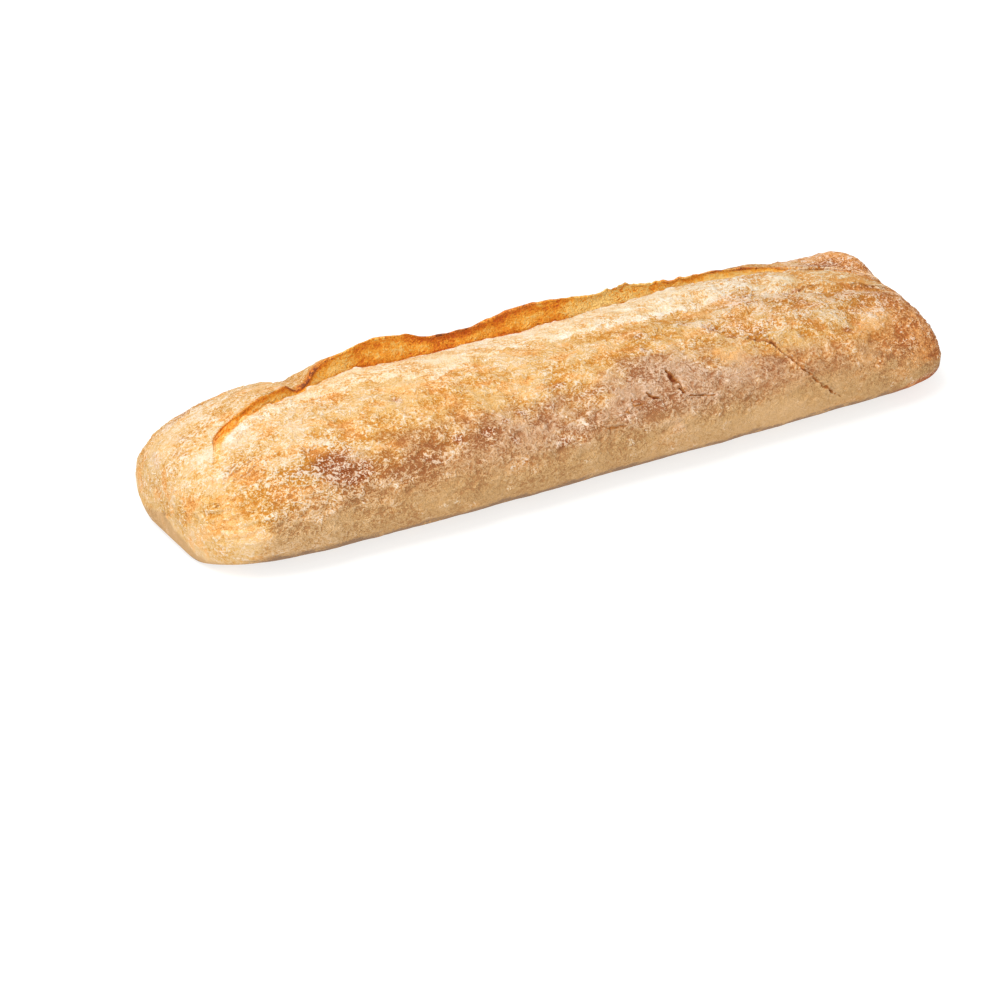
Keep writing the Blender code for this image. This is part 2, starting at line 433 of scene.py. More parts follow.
@dataclass(frozen=True)
class TornEdge:
    """Raggedness of the ear's rim, in metres, and where along the loaf it is roughest."""

    fine: float = 0.55 * MM
    coarse: float = 1.0 * MM
    fine_length: float = 3.2 * MM
    coarse_length: float = 9.0 * MM
    rough_stretch: Hill = Hill(0.04, 0.36, 0.60)
    crumb: float = 4.4 * MM
    crumb_length: float = 4.2 * MM
    small_crumb: float = 2.0 * MM
    small_crumb_length: float = 1.7 * MM

    def lift(self, x: float, along: float) -> float:
        """Height of the rim's raggedness at a place along the loaf, in metres.

        Args:
            x: Place along the loaf, in metres.
            along: The same place, from -1 to 1.

        Returns:
            The height in metres.
        """
        crumbs = self.crumb * max(0.0, self._wave(x, self.crumb_length, 5.3))
        crumbs += self.small_crumb * max(0.0, self._wave(x, self.small_crumb_length, 8.3))
        waves = self.fine * self._wave(x, self.fine_length, 3.7)
        waves += self.coarse * self._wave(x, self.coarse_length, 9.1)
        return waves + self.rough_stretch.at(along) * crumbs

    def _wave(self, x: float, length: float, seed: float) -> float:
        """Uneven wave along the loaf, about -1 to 1."""
        return noise.noise(Vector((x / length, seed, 0.0)))


class Section:
    """One cross-section of the loaf, at a place along it from -1 to 1."""

    def __init__(self, form: LoafForm, edge: TornEdge, along: float) -> None:
        """Works out the section's own sizes.

        Args:
            form: The loaf's form.
            edge: Raggedness of the ear's rim.
            along: Place along the loaf, -1 to 1.
        """
        self.form = form
        self.along = along
        plan = form.plan_share(along)
        nose = form.nose_share(along)
        flare = 1.0 + form.end_flare * abs(along)
        self.x = along * form.length / 2
        self.middle = form.sideways_bow * (along * along - form.bow_balance)
        self.half_width = form.width / 2 * plan * flare
        tip = form.left_nose_height if along < 0 else form.right_nose_height
        self.crest = tip + (form.crest_height - tip) * nose * flare
        self.belt = tip + (form.belt_height - tip) * nose
        self.base = tip * (1.0 - min(1.0, nose * form.base_lift_at_ends))
        self.fade = min(1.0, plan * form.tip_fade)
        self.slash = form.slash_angle.at(along)
        self.bloom_edge = min(form.bloom_edge_angle.at(along), self.slash - form.least_bloom_turn)
        self.crease = form.crease_depth.at(along) * MM
        self.swell = form.bloom_swell.at(along) * MM
        self.open = form.slash_opening.at(along) * form.slash_closing.at(along)
        self.ear = max(form.least_slash_step * self.open, form.ear_rise.at(along) * MM) * self.fade
        self.far_swell = form.far_swell.at(along) * MM * self.fade
        self.full_ear = min(1.0, self.ear / form.full_ear_rise)
        self.raggedness = edge.lift(self.x, along) * self.full_ear

    def plain(self, angle: float) -> Pair:
        """Place (y, z) on the plain section at an angle: 0 under the middle, 90 near, 180 on top, 270 far.

        Args:
            angle: Degrees round the section.

        Returns:
            The place in metres.
        """
        turn = math.radians(angle)
        across, up = math.sin(turn), -math.cos(turn)
        if up >= 0.0:
            rise = (self.crest - self.belt) * up ** self.form.dome_power
            return -self.half_width * across, self.belt + rise
        y = -self.half_width * math.copysign(abs(across) ** self.form.underside_power, across)
        drop = (self.belt - self.base) * self.form.base_cut * (-up) ** self.form.underside_power
        return y, max(self.belt - drop, self.base)

    def outward(self, angle: float, amount: float) -> Pair:
        """Place (y, z) an amount outside the plain section.

        Args:
            angle: Degrees round the section, from under the middle.
            amount: How far outside, in metres.

        Returns:
            The place in metres.
        """
        y, z = self.plain(angle)
        back_y, back_z = self.plain(angle - 1.0)
        on_y, on_z = self.plain(angle + 1.0)
        run_y, run_z = on_y - back_y, on_z - back_z
        length = math.hypot(run_y, run_z) or 1.0
        return y - amount * run_z / length, z + amount * run_y / length

    def near_angle(self, share: float) -> float:
        """Angle of a place up the near side, from under the middle to the bloom's near edge."""
        turn = self.form.near_crust_turn
        return share * turn + (self.bloom_edge - turn) * share ** self.form.turn_power

    def near_crust(self, share: float) -> Pair:
        """Place (y, z) up the near side, from under the middle to the bloom's near edge."""
        return self.outward(self.near_angle(share), -self.crease_beside(share))

    def crease_beside(self, share: float) -> float:
        """Depth of the crease at a share of the way up the near side."""
        start = self.form.crease_start
        return self.crease * self.fade * ease((share - start) / (1.0 - start))

    def bloom_angle(self, share: float) -> float:
        """Angle of a place over the bloom, from its near edge to the bottom of the slash."""
        return self.bloom_edge + share * (self.slash - self.bloom_edge)

    def bloom(self, share: float) -> Pair:
        """Place (y, z) over the bloom, from its near edge to the bottom of the slash.

        Args:
            share: How far through the zone the place lies.

        Returns:
            The place in metres.
        """
        form = self.form
        crease = self.crease * (1.0 - ease(share / form.crease_end))
        swell = self.swell * max(0.0, math.sin(math.pi * share)) ** form.bloom_roundness
        deep = form.least_slash_depth + (self.ear + self.far_swell) * form.slash_depth_share
        deep = min(form.slash_depth, deep * self.open)
        drop = deep * ease((share - form.bloom_drop_start) / (1.0 - form.bloom_drop_start))
        drop += form.dip_along.at(self.along) * form.dip_across.at(share)
        return self.outward(self.bloom_angle(share), (swell - crease - drop) * self.fade)

    def far_angle(self, share: float) -> float:
        """Angle of a place down the far side, from the ear's rim to under the middle.

        Args:
            share: How far through the zone the place lies.

        Returns:
            The angle in degrees.
        """
        left = 1.0 - share
        top = self.slash + self.form.ear_top_turn
        turn = self.form.far_crust_turn
        return 360.0 - left * turn + (top - 360.0 + turn) * left ** self.form.turn_power

    def far_crust(self, share: float) -> Pair:
        """Place (y, z) down the far side, from the ear's rim to under the middle.

        Args:
            share: How far through the zone the place lies.

        Returns:
            The place in metres.
        """
        form = self.form
        angle = self.far_angle(share)
        y, z = self.plain(angle)
        side = min(1.0, (angle - self.slash) / (form.rise_end_angle - self.slash))
        start = form.swell_start
        swell = (start + (1.0 - start) * ease(side / form.swell_peak)) * (1.0 - side * side)
        lift = self.ear * (1.0 - side) ** form.ear_curl + self.far_swell * swell
        lift += self.raggedness * math.exp(-form.rim_fade * side)
        lean = form.ear_lean * self.full_ear * (1.0 - ease(side / form.ear_lean_reach))
        return y - lean, z + lift

    def lip(self) -> Pair:
        """Place (y, z) under the ear's rim, where its torn face ends.

        Returns:
            The place in metres.
        """
        form = self.form
        y, z = self.far_crust(0.0)
        foot_y, foot_z = self.bloom(1.0)
        thick = min(form.ear_thickness, self.ear * form.lip_share)
        closed = form.closed_lip * (1.0 - min(1.0, self.ear / form.ear_thickness))
        lip_y, lip_z = y - form.lip_set_back * thick, z - form.lip_hang * thick
        return lip_y + closed * (foot_y - lip_y), lip_z + closed * (foot_z - lip_z)

    def ear_face(self, share: float) -> Pair:
        """Place (y, z) up the torn face of the ear, from the slash to under the rim.

        Args:
            share: How far through the zone the place lies.

        Returns:
            The place in metres.
        """
        form = self.form
        foot_y, foot_z = self.bloom(1.0)
        lip_y, lip_z = self.lip()
        turn = math.pi * form.undercut_turn * share ** form.undercut_power
        hollow = form.ear_undercut * self.full_ear * math.sin(turn)
        return foot_y + (lip_y - foot_y) * share + hollow, foot_z + (lip_z - foot_z) * share

    def rim(self, share: float) -> Pair:
        """Place (y, z) round the ear's rim, from the torn face to the far crust.

        Args:
            share: How far through the zone the place lies.

        Returns:
            The place in metres.
        """
        lip_y, lip_z = self.lip()
        top_y, top_z = self.far_crust(0.0)
        bulge = self.form.rim_bulge * (top_z - lip_z) * math.sin(math.pi * share)
        return lip_y + (top_y - lip_y) * share - bulge, lip_z + (top_z - lip_z) * share

    def at_angle(self, angle: float) -> Pair:
        """Place (y, z) on the near side or the bloom at an angle round the section.

        Args:
            angle: Degrees round the section, from under the middle.

        Returns:
            The place in metres.
        """
        if angle > self.bloom_edge:
            return self.bloom(min(1.0, (angle - self.bloom_edge) / (self.slash - self.bloom_edge)))
        return self.outward(angle, -self.crease_beside(angle / self.bloom_edge))

    def point(self, zone: Zone, share: float) -> Vector:
        """Place of a point of the skin.

        Args:
            zone: The zone it lies in.
            share: How far through the zone it lies.

        Returns:
            Its place in the loaf's frame.
        """
        shapes = {
            Zone.NEAR_CRUST: self.near_crust,
            Zone.BLOOM: self.bloom,
            Zone.EAR_FACE: self.ear_face,
            Zone.RIM: self.rim,
            Zone.FAR_CRUST: self.far_crust,
        }
        y, z = shapes[zone](share)
        return self.form.uneven(self.x, y + self.middle, z)

    def angle(self, zone: Zone, share: float) -> float:
        """Angle round the section of a point of the skin.

        Args:
            zone: The zone it lies in.
            share: How far through the zone it lies.

        Returns:
            The angle in degrees.
        """
        if zone is Zone.NEAR_CRUST:
            return self.near_angle(share)
        if zone is Zone.BLOOM:
            return self.bloom_angle(share)
        if zone is Zone.FAR_CRUST:
            return self.far_angle(share)
        return self.slash


@dataclass(frozen=True)
class Cut:
    """Narrow tear or crack in the crust, along (place along, angle round) points, in metres."""

    path: tuple[Pair, ...]
    width: float
    depth: float
    lip: float
    shade: float

    @classmethod
    def along(cls, *path: Pair, size: Triple, shade: float) -> "Cut":
        """Cut along a path, with its width, depth and lip in millimetres."""
        width, depth, lip = size
        return cls(path, width * MM, depth * MM, lip * MM, shade)

    def points(self, form: LoafForm, edge: TornEdge) -> list[Vector]:
        """Path of the cut on the plain crust, in metres.

        Args:
            form: The loaf's form.
            edge: Raggedness of the ear's rim.

        Returns:
            The path's points.
        """
        points = []
        for along, angle in self.path:
            section = Section(form, edge, along)
            y, z = section.at_angle(angle)
            points.append(form.uneven(section.x, y + section.middle, z))
        return points


@dataclass(frozen=True)
class Patch:
    """Soft round patch on the crust, at a place along and an angle round, with its size and strength."""

    along: float
    angle: float
    length: float
    height: float
    strength: float

    @classmethod
    def rows(cls, *rows: tuple[float, float, float, float, float]) -> tuple["Patch", ...]:
        """Patches, each as (along, angle, length, height, strength)."""
        return tuple(cls(*row) for row in rows)

    def at(self, along: float, angle: float) -> float:
        """Strength of the patch at a place along and an angle round; nothing past PATCH_REACH sizes."""
        far = ((along - self.along) / self.length) ** 2 + ((angle - self.angle) / self.height) ** 2
        return self.strength * math.exp(-far) if far < PATCH_REACH ** 2 else 0.0


@dataclass(frozen=True)
class CrustMarks:
    """The marks that the bake has left: tears, cracks and brown patches, a few of which are painted shade
    along the bloom's crease.
    """

    cuts: tuple[Cut, ...] = (
        Cut.along((0.171, 138.5), (0.175, 134.0), (0.183, 129.5), size=(1.8, 1.8, 0.5), shade=0.9),
        Cut.along((0.178, 126.0), (0.187, 122.5), size=(1.6, 1.3, 0.4), shade=0.85),
        Cut.along(
            (0.192, 120.5), (0.206, 120.0), (0.234, 118.0), (0.264, 116.0),
            size=(0.6, 0.6, 0.5), shade=0.42,
        ),
        Cut.along((0.092, 129.5), (0.100, 127.0), (0.115, 124.0), size=(1.0, 1.4, 0.4), shade=0.8),
        Cut.along((0.050, 127.5), (0.047, 123.0), (0.074, 123.5), size=(1.0, 0.6, 0.2), shade=0.4),
        Cut.along((0.020, 121.5), (0.038, 119.0), size=(0.9, 0.6, 0.2), shade=0.45),
        Cut.along((-0.060, 116.0), (-0.020, 113.5), (0.012, 112.0), size=(0.7, 0.5, 0.2), shade=0.35),
        Cut.along(
            (0.350, 162.0), (0.382, 156.5), (0.406, 153.0), (0.425, 150.5),
            size=(3.0, 0.6, 0.8), shade=0.16,
        ),
        Cut.along((0.425, 150.0), (0.445, 147.5), (0.470, 144.5), size=(1.9, 0.8, 0.8), shade=0.34),
        Cut.along((0.462, 145.0), (0.475, 141.0), (0.487, 136.5), size=(1.2, 1.2, 0.4), shade=0.55),
        Cut.along(
            (0.474, 141.0), (0.486, 135.0), (0.497, 129.5), (0.508, 123.0), (0.516, 117.0), (0.528, 112.0),
            size=(0.8, 1.1, 0.6), shade=0.6,
        ),
        Cut.along((0.510, 124.0), (0.522, 118.5), (0.530, 112.5), size=(0.5, 0.6, 0.3), shade=0.4),
        Cut.along(
            (0.516, 117.0), (0.530, 111.5), (0.545, 106.0), (0.560, 101.0), (0.580, 94.0),
            size=(0.9, 1.0, 0.6), shade=0.5,
        ),
        Cut.along((0.568, 98.0), (0.602, 87.0), size=(0.42, 0.4, 0.2), shade=0.4),
        Cut.along((-0.932, 145.0), (-0.912, 145.5), (-0.883, 147.5), size=(1.0, 0.35, 0.35), shade=0.24),
        Cut.along((-0.917, 148.5), (-0.900, 149.5), (-0.886, 151.0), size=(0.8, 0.3, 0.35), shade=0.22),
        Cut.along((-0.905, 142.0), (-0.875, 143.5), (-0.850, 145.5), size=(0.8, 0.3, 0.35), shade=0.22),
        Cut.along((-0.870, 148.5), (-0.855, 149.5), (-0.838, 149.5), size=(0.8, 0.3, 0.35), shade=0.2),
        # Crevices along the bloom's crease: cut into the form, with painted shade inside.
        Cut.along((0.515, 178.0), (0.545, 179.5), (0.580, 179.0), size=(1.0, 0.8, 0.6), shade=0.34),
        Cut.along((0.670, 175.0), (0.695, 176.5), (0.725, 176.0), size=(0.8, 0.7, 0.6), shade=0.22),
        Cut.along((0.820, 173.0), (0.870, 172.0), (0.930, 170.0), size=(0.8, 0.7, 0.6), shade=0.26),
    )
    hollows: tuple[Patch, ...] = Patch.rows(
        (0.545, 180.5, 0.032, 2.4, 1.1), (0.600, 186.0, 0.018, 4.0, 0.8), (0.690, 178.5, 0.040, 2.4, 1.2),
        (0.720, 187.0, 0.016, 5.0, 0.9), (0.620, 195.0, 0.030, 3.0, 0.7), (0.800, 178.0, 0.030, 2.4, 0.9),
        (0.830, 187.0, 0.020, 4.0, 0.9), (0.490, 191.0, 0.016, 5.0, 0.6), (0.400, 186.0, 0.024, 3.0, 0.6),
        (0.300, 184.0, 0.020, 3.0, 0.6), (0.385, 157.0, 0.040, 5.0, 1.3), (0.440, 152.0, 0.030, 4.0, 1.1),
        (-0.255, 122.0, 0.016, 4.0, 0.7), (0.735, 168.0, 0.030, 4.0, 0.9), (-0.470, 168.0, 0.030, 4.0, 0.5),
        (-0.300, 163.0, 0.020, 4.0, 0.6), (-0.462, 161.0, 0.012, 3.5, 0.7), (-0.290, 158.0, 0.014, 2.5, 0.8),
        (-0.205, 168.0, 0.012, 3.5, 0.9), (-0.175, 168.0, 0.010, 4.0, 0.9), (-0.240, 166.0, 0.010, 3.0, 0.6),
        (-0.385, 154.0, 0.016, 2.5, 0.6), (-0.520, 155.0, 0.018, 3.0, 0.6), (-0.600, 158.0, 0.016, 3.0, 0.5),
        (-0.110, 150.0, 0.016, 3.0, 0.7), (-0.060, 160.0, 0.014, 3.0, 0.6), (0.020, 156.0, 0.018, 3.0, 0.7),
        (0.090, 163.0, 0.014, 3.0, 0.6), (0.170, 157.0, 0.016, 3.0, 0.6), (0.240, 165.0, 0.016, 3.0, 0.7),
        (-0.160, 128.0, 0.014, 3.0, 0.8), (-0.330, 130.0, 0.010, 2.5, 0.8), (-0.215, 121.0, 0.014, 3.0, 0.7),
        (-0.060, 122.0, 0.014, 3.0, 0.8), (0.060, 144.0, 0.018, 3.0, 0.6), (0.620, 152.0, 0.018, 3.0, 0.6),
        (0.690, 160.0, 0.014, 3.0, 0.8), (0.560, 160.0, 0.016, 3.0, 0.6), (0.760, 130.0, 0.020, 4.0, 0.6),
        (0.850, 150.0, 0.020, 4.0, 0.6)
    )
    brown_and_shade_patches: tuple[Patch, ...] = Patch.rows(
        (-0.692, 131.0, 0.048, 6.5, 1.15), (-0.665, 124.0, 0.040, 5.0, 1.15),
        (-0.690, 139.0, 0.045, 4.5, 0.75), (-0.735, 147.0, 0.026, 2.0, 0.7),
        (-0.635, 130.0, 0.030, 5.0, 0.7), (-0.765, 135.0, 0.050, 4.0, 0.5), (-0.560, 119.0, 0.030, 3.0, 0.6),
        (-0.480, 123.0, 0.030, 3.0, 0.6), (-0.470, 165.0, 0.014, 3.0, 0.9), (-0.395, 130.0, 0.016, 3.0, 1.1),
        (-0.325, 130.0, 0.020, 3.0, 1.2), (-0.270, 134.0, 0.018, 2.5, 1.0), (-0.262, 122.0, 0.016, 3.0, 1.0),
        (-0.225, 137.0, 0.016, 2.5, 1.0), (-0.160, 112.0, 0.018, 2.6, 1.2), (-0.290, 140.0, 0.024, 2.5, 0.5),
        (-0.100, 148.0, 0.026, 2.5, 0.7), (-0.030, 138.0, 0.022, 2.5, 0.7), (0.055, 126.0, 0.018, 2.5, 0.8),
        (0.020, 118.0, 0.024, 2.5, 0.5), (-0.152, 113.0, 0.022, 3.5, 0.8), (-0.145, 137.0, 0.016, 3.0, 0.7),
        (0.110, 122.0, 0.018, 2.5, 0.5), (0.160, 166.0, 0.030, 2.5, 0.6), (0.310, 168.0, 0.030, 2.5, 0.8),
        (0.370, 160.0, 0.020, 2.5, 0.9), (0.405, 154.0, 0.020, 2.5, 0.9), (0.470, 150.0, 0.020, 2.5, 0.7),
        (0.560, 140.0, 0.024, 2.5, 0.6), (0.690, 138.0, 0.014, 2.5, 0.9), (0.640, 176.0, 0.026, 2.5, 0.9),
        # The long thin patches at 0.540, 0.690 and 0.890 are painted shade along the bloom's crease.
        (0.860, 182.0, 0.030, 4.0, 0.5), (0.540, 179.5, 0.035, 1.6, 0.9), (0.690, 176.5, 0.045, 1.8, 1.0),
        (0.890, 171.5, 0.050, 2.2, 1.0), (0.790, 195.0, 0.040, 3.0, 0.5), (0.345, 161.0, 0.012, 3.0, 1.0),
        (0.150, 155.0, 0.014, 3.0, 0.8), (0.830, 120.0, 0.040, 6.0, 0.4), (0.970, 130.0, 0.025, 40.0, 0.6),
        (0.940, 80.0, 0.050, 8.0, 0.9), (0.840, 204.0, 0.060, 6.0, 0.8), (-0.955, 178.0, 0.014, 18.0, 0.30),
        (-0.985, 200.0, 0.012, 30.0, 0.40), (-0.890, 217.0, 0.060, 6.0, 0.6),
        (-0.780, 222.0, 0.070, 5.0, 0.6), (-0.930, 190.0, 0.012, 6.0, 0.5),
        (-0.620, 228.0, 0.300, 9.0, 0.25), (0.300, 240.0, 0.500, 18.0, 0.3),
        (0.850, 235.0, 0.120, 20.0, 0.5)
    )
    pale_patches: tuple[Patch, ...] = Patch.rows(
        (-0.695, 147.5, 0.035, 3.5, 1.3), (-0.590, 138.0, 0.040, 5.0, 0.5), (0.520, 189.0, 0.060, 6.0, 0.8),
        (0.640, 184.0, 0.030, 4.0, 0.7), (0.740, 181.0, 0.030, 3.0, 0.6), (-0.925, 172.0, 0.022, 22.0, 0.8),
        (-0.870, 205.0, 0.050, 10.0, 0.5), (-0.620, 172.0, 0.120, 7.0, 0.5),
        (-0.300, 172.0, 0.200, 5.0, 0.5), (0.050, 170.0, 0.200, 4.0, 0.3), (-0.180, 127.0, 0.060, 5.0, 0.5),
        (0.230, 135.0, 0.090, 7.0, 0.5), (0.340, 125.0, 0.080, 7.0, 0.4), (-0.640, 145.0, 0.040, 5.0, 0.6),
        (0.600, 136.0, 0.060, 8.0, 0.3), (0.770, 145.0, 0.050, 8.0, 0.5), (0.870, 222.0, 0.070, 8.0, 0.6)
    )

    def hollow(self, along: float, angle: float) -> float:
        """How deep the shallow hollows are at a place along and an angle round, as a share."""
        return sum(patch.at(along, angle) for patch in self.hollows)

    def pale(self, along: float, angle: float) -> float:
        """How much more flour there is at a place along and an angle round."""
        return min(1.0, sum(patch.at(along, angle) for patch in self.pale_patches))

    def brown(self, along: float, angle: float) -> float:
        """How much browner the crust is at a place along and an angle round, with painted shade in a few
        patches along the bloom's crease.
        """
        return min(1.0, sum(patch.at(along, angle) for patch in self.brown_and_shade_patches))


@dataclass
class Paint:
    """What the crust is at one point of the skin, with the shade painted in its recesses, hollows and low
    edge, in shares of 0 to 1; flour below 0 is less than usual.
    """

    flour: float = 0.0
    dusty: float = 0.0
    rosy: float = 0.0
    gold: float = 0.0
    toast: float = 0.0
    brown: float = 0.0
    bloom: float = 0.0
    torn: float = 0.0
    rim: float = 0.0
    # Painted shade in cuts, at the slash's bottom and at the torn face's foot.
    recess_shade: float = 0.0
    # Darker bottom crust: partly its own browner bake, partly painted shade near the floor.
    under: float = 0.0
    rough: float = 1.0
    # Where the relief's crests are: crests take more flour, the hollows darker tones that are partly painted
    # shade.
    crest: float = 0.5


PAINT_NAMES = tuple(Paint.__dataclass_fields__)


@dataclass(frozen=True)
class Spot:
    """One point of the skin: its section, its zone, how far through the zone, the angle round, its place."""

    section: Section
    zone: Zone
    share: float
    angle: float
    place: Vector

    @property
    def along(self) -> float:
        """Place along the loaf, -1 to 1."""
        return self.section.along

    @property
    def up(self) -> float:
        """Degrees up the side, from 0 under the middle to 180 on top."""
        return min(self.angle, 360.0 - self.angle)

    def ear(self, full: float) -> float:
        """How much of an ear stands here, 1 from a full rise in metres."""
        return min(1.0, self.section.ear / full)


@dataclass(frozen=True)
class CrustRelief:
    """Heights and widths of the crust's fine relief, in metres, and where it fades."""

    seed: float = 11.3
    increment: float = 0.7
    lacunarity: float = 2.1
    lump: float = 0.60 * MM
    lump_width: float = 15.0 * MM
    girth: float = 42.0 * MM
    wrinkle: float = 0.75 * MM
    wrinkle_long: float = 8.5 * MM
    wrinkle_wide: float = 3.4 * MM
    wrinkle_slant: float = 0.22
    wrinkle_drift: float = 3.0 * MM
    ridge_sharpness: float = 2.8
    ridge_share: float = 0.62
    soft_share: float = 0.7
    soft_scale: float = 0.55
    soft_offset: Triple = (7.0, 3.0, 0.0)
    wrinkle_floor: float = 0.3
    wander_width: float = 9.0 * MM
    grain: float = 0.42 * MM
    grain_width: float = 2.6 * MM
    side_grain: float = 0.12 * MM
    blister: float = 0.85 * MM
    blister_spacing: float = 9.5 * MM
    blister_size: float = 0.34
    least_blister: float = 0.45
    blister_chance: float = 0.05
    chance_scale: float = 17.3
    blister_roundness: float = 1.5
    side_blister: float = 0.25
    ripple: float = 0.42 * MM
    ripple_width: float = 2.4 * MM
    ripple_bend: float = 2.4 * MM
    ripple_slant: float = 0.45
    fine_ripple_share: float = 0.5
    fine_ripple_scale: float = 2.1
    left_ripple: float = 0.35
    ripple_along: Step = Step(0.2, 0.4)
    bloom_grain: float = 0.30 * MM
    bloom_grain_width: float = 2.1 * MM
    torn_grain: float = 0.34 * MM
    rim_grain: float = 0.272 * MM
    rim_grain_width: float = 1.8 * MM
    torn_grain_ear: float = 2.0 * MM
    ruffle: float = 1.3 * MM
    ruffle_width: float = 5.5 * MM
    ruffle_flour: float = 1.2
    ruffle_across: Hill = Hill(0.50, 0.80, 1.0)
    torn_bulge: float = 0.6 * MM
    bulge_along: Hill = Hill(-0.02, 0.24, 0.50, 2.2)
    bulge_up: Hill = Hill(0.0, 0.3, 1.0)
    hollow: float = 1.6 * MM
    edge_flake: float = 0.9 * MM
    edge_flake_width: float = 3.4 * MM
    flake_across: Hill = Hill(0.0, 0.06, 0.2)
    flake_turn: Step = Step(14.0, 14.0)
    base_calm: Step = Step(0.8 * MM, 9.0 * MM)
    crown_up: Step = Step(0.62, 0.25)
    far_crown: float = 0.5
    tip_calm: Step = Step(0.4, 0.6)
    near_softening: float = 14.0
    far_softening: float = 30.0
    inner_softening: float = 9.0
    hollow_softening: float = 5.0
    crust_crests: Triple = (0.45, 0.3, 0.22)
    bloom_crests: Pair = (0.25, 0.35)

    def fractal(self, place: Vector, size: float, octaves: int = 3) -> float:
        """Uneven value about -1 to 1 at a place, with features of a size."""
        spot = place / size + Vector((self.seed, 0.0, 0.0))
        return noise.fractal(spot, self.increment, self.lacunarity, octaves)

    def wrinkles(self, place: Vector, angle: float) -> float:
        """Creased layers that wander along the loaf, as a height about -1 to 1.

        Args:
            place: The point.
            angle: Degrees round the section, from under the middle.

        Returns:
            The height, as a share.
        """
        round_it = math.radians(angle) * self.girth
        drift = self.wrinkle_slant * place.x + self.wrinkle_drift * noise.noise(place / self.wander_width)
        spot = Vector((place.x / self.wrinkle_long, (round_it - drift) / self.wrinkle_wide, self.seed))
        ridge = 1.0 - abs(noise.noise(spot)) * self.ridge_sharpness
        soft = noise.noise(spot * self.soft_scale + Vector(self.soft_offset))
        return self.ridge_share * ridge + self.soft_share * soft - self.wrinkle_floor

    def blisters(self, place: Vector) -> float:
        """Low round blisters, as a height 0 to 1.

        Args:
            place: The point.

        Returns:
            The height, as a share.
        """
        nearest, spots = noise.voronoi(place / self.blister_spacing + Vector((0.0, self.seed, 0.0)))
        chance = noise.cell(spots[0] * self.chance_scale)
        size = self.blister_size * at_least(self.least_blister, abs(chance))
        if chance < self.blister_chance or nearest[0] > size:
            return 0.0
        return (1.0 - (nearest[0] / size) ** 2) ** self.blister_roundness

    def ripples(self, place: Vector) -> float:
        """Stretch marks across the bloom, as a height about -1 to 1.

        Args:
            place: The point.

        Returns:
            The height, as a share.
        """
        bend = self.ripple_bend * noise.noise(place / self.wander_width) + self.ripple_slant * place.y
        spot = Vector(((place.x + bend) / self.ripple_width, place.y / self.wander_width, self.seed))
        return noise.noise(spot) + self.fine_ripple_share * noise.noise(spot * self.fine_ripple_scale)

    def height(self, spot: Spot, marks: CrustMarks, paint: Paint) -> float:
        """Height of the fine relief over the form; it also notes in the paint where the crests are.

        Args:
            spot: The point of the skin.
            marks: Marks that the bake has left.
            paint: Shares of each finish there.

        Returns:
            The height in metres, outwards.
        """
        layers = self._layers(spot, marks, paint)
        lumps = self.lump * self.fractal(spot.place, self.lump_width, 2)
        closed = 1.0 - spot.section.open
        if spot.zone in (Zone.NEAR_CRUST, Zone.FAR_CRUST):
            edge = spot.share * self.far_softening
            if spot.zone is Zone.NEAR_CRUST:
                edge = (1.0 - spot.share) * self.near_softening
            return lumps * self.base_calm.at(spot.place.z) + layers * max(ease(edge), closed)
        lumps += closed * layers
        if spot.zone is Zone.BLOOM:
            return lumps + self._bloom(spot, marks, paint)
        return lumps + (self._torn_face(spot) if spot.zone is Zone.EAR_FACE else self._rim(spot))

    def _layers(self, spot: Spot, marks: CrustMarks, paint: Paint) -> float:
        """Height of the crust's wrinkles, blisters and grain; the paint is told where their crests are.

        Args:
            spot: The point of the skin.
            marks: Marks that the bake has left.
            paint: Shares of each finish there.

        Returns:
            The height in metres.
        """
        crown = self.crown_up.at(math.sin(math.radians(abs(spot.angle - 180.0) / 2.0 + 90.0)))
        if spot.zone is Zone.FAR_CRUST:
            crown *= self.far_crown
        wrinkle = self.wrinkles(spot.place, spot.angle) * crown * self.tip_calm.at(spot.section.fade)
        blister = self.blisters(spot.place) * at_least(self.side_blister, crown)
        grain = self.fractal(spot.place, self.grain_width)
        by_wrinkle, by_blister, by_grain = self.crust_crests
        # Crests take more flour, hollows darker tones: partly real flour on the ridges, partly painted shade
        # in the hollows.
        paint.crest = clamp(0.5 + by_wrinkle * wrinkle + by_blister * blister + by_grain * grain)
        layers = self.wrinkle * wrinkle + self.blister * blister
        layers += (self.side_grain + self.grain * crown) * grain
        return (layers - self.hollow * marks.hollow(spot.along, spot.angle)) * self.base_calm.at(spot.place.z)

    def _torn_face(self, spot: Spot) -> float:
        """Height of the bulge and the crumb on the ear's torn face.

        Args:
            spot: The point of the skin.

        Returns:
            The height in metres.
        """
        bulge = self.torn_bulge * (1.0 + self.bulge_along.at(spot.along)) * spot.section.full_ear
        grain = self.torn_grain * self.fractal(spot.place, self.grain_width)
        return bulge * self.bulge_up.at(spot.share) + grain * spot.ear(self.torn_grain_ear)

    def _rim(self, spot: Spot) -> float:
        """Height of the crumb on the ear's rim."""
        return self.rim_grain * self.fractal(spot.place, self.rim_grain_width) * spot.section.full_ear

    def _bloom(self, spot: Spot, marks: CrustMarks, paint: Paint) -> float:
        """Height of the bloom's ripples, ruffles, flakes and hollows; the ruffles hold more flour.

        Args:
            spot: The point of the skin.
            marks: Marks that the bake has left.
            paint: Shares of each finish there.

        Returns:
            The height in metres.
        """
        section, share, place = spot.section, spot.share, spot.place
        inner = ease(share * self.inner_softening) * ease((1.0 - share) * self.inner_softening) * section.open
        grain = self.fractal(place, self.bloom_grain_width)
        ripple = self.ripples(place) * at_least(self.left_ripple, self.ripple_along.at(spot.along))
        by_grain, by_ripple = self.bloom_crests
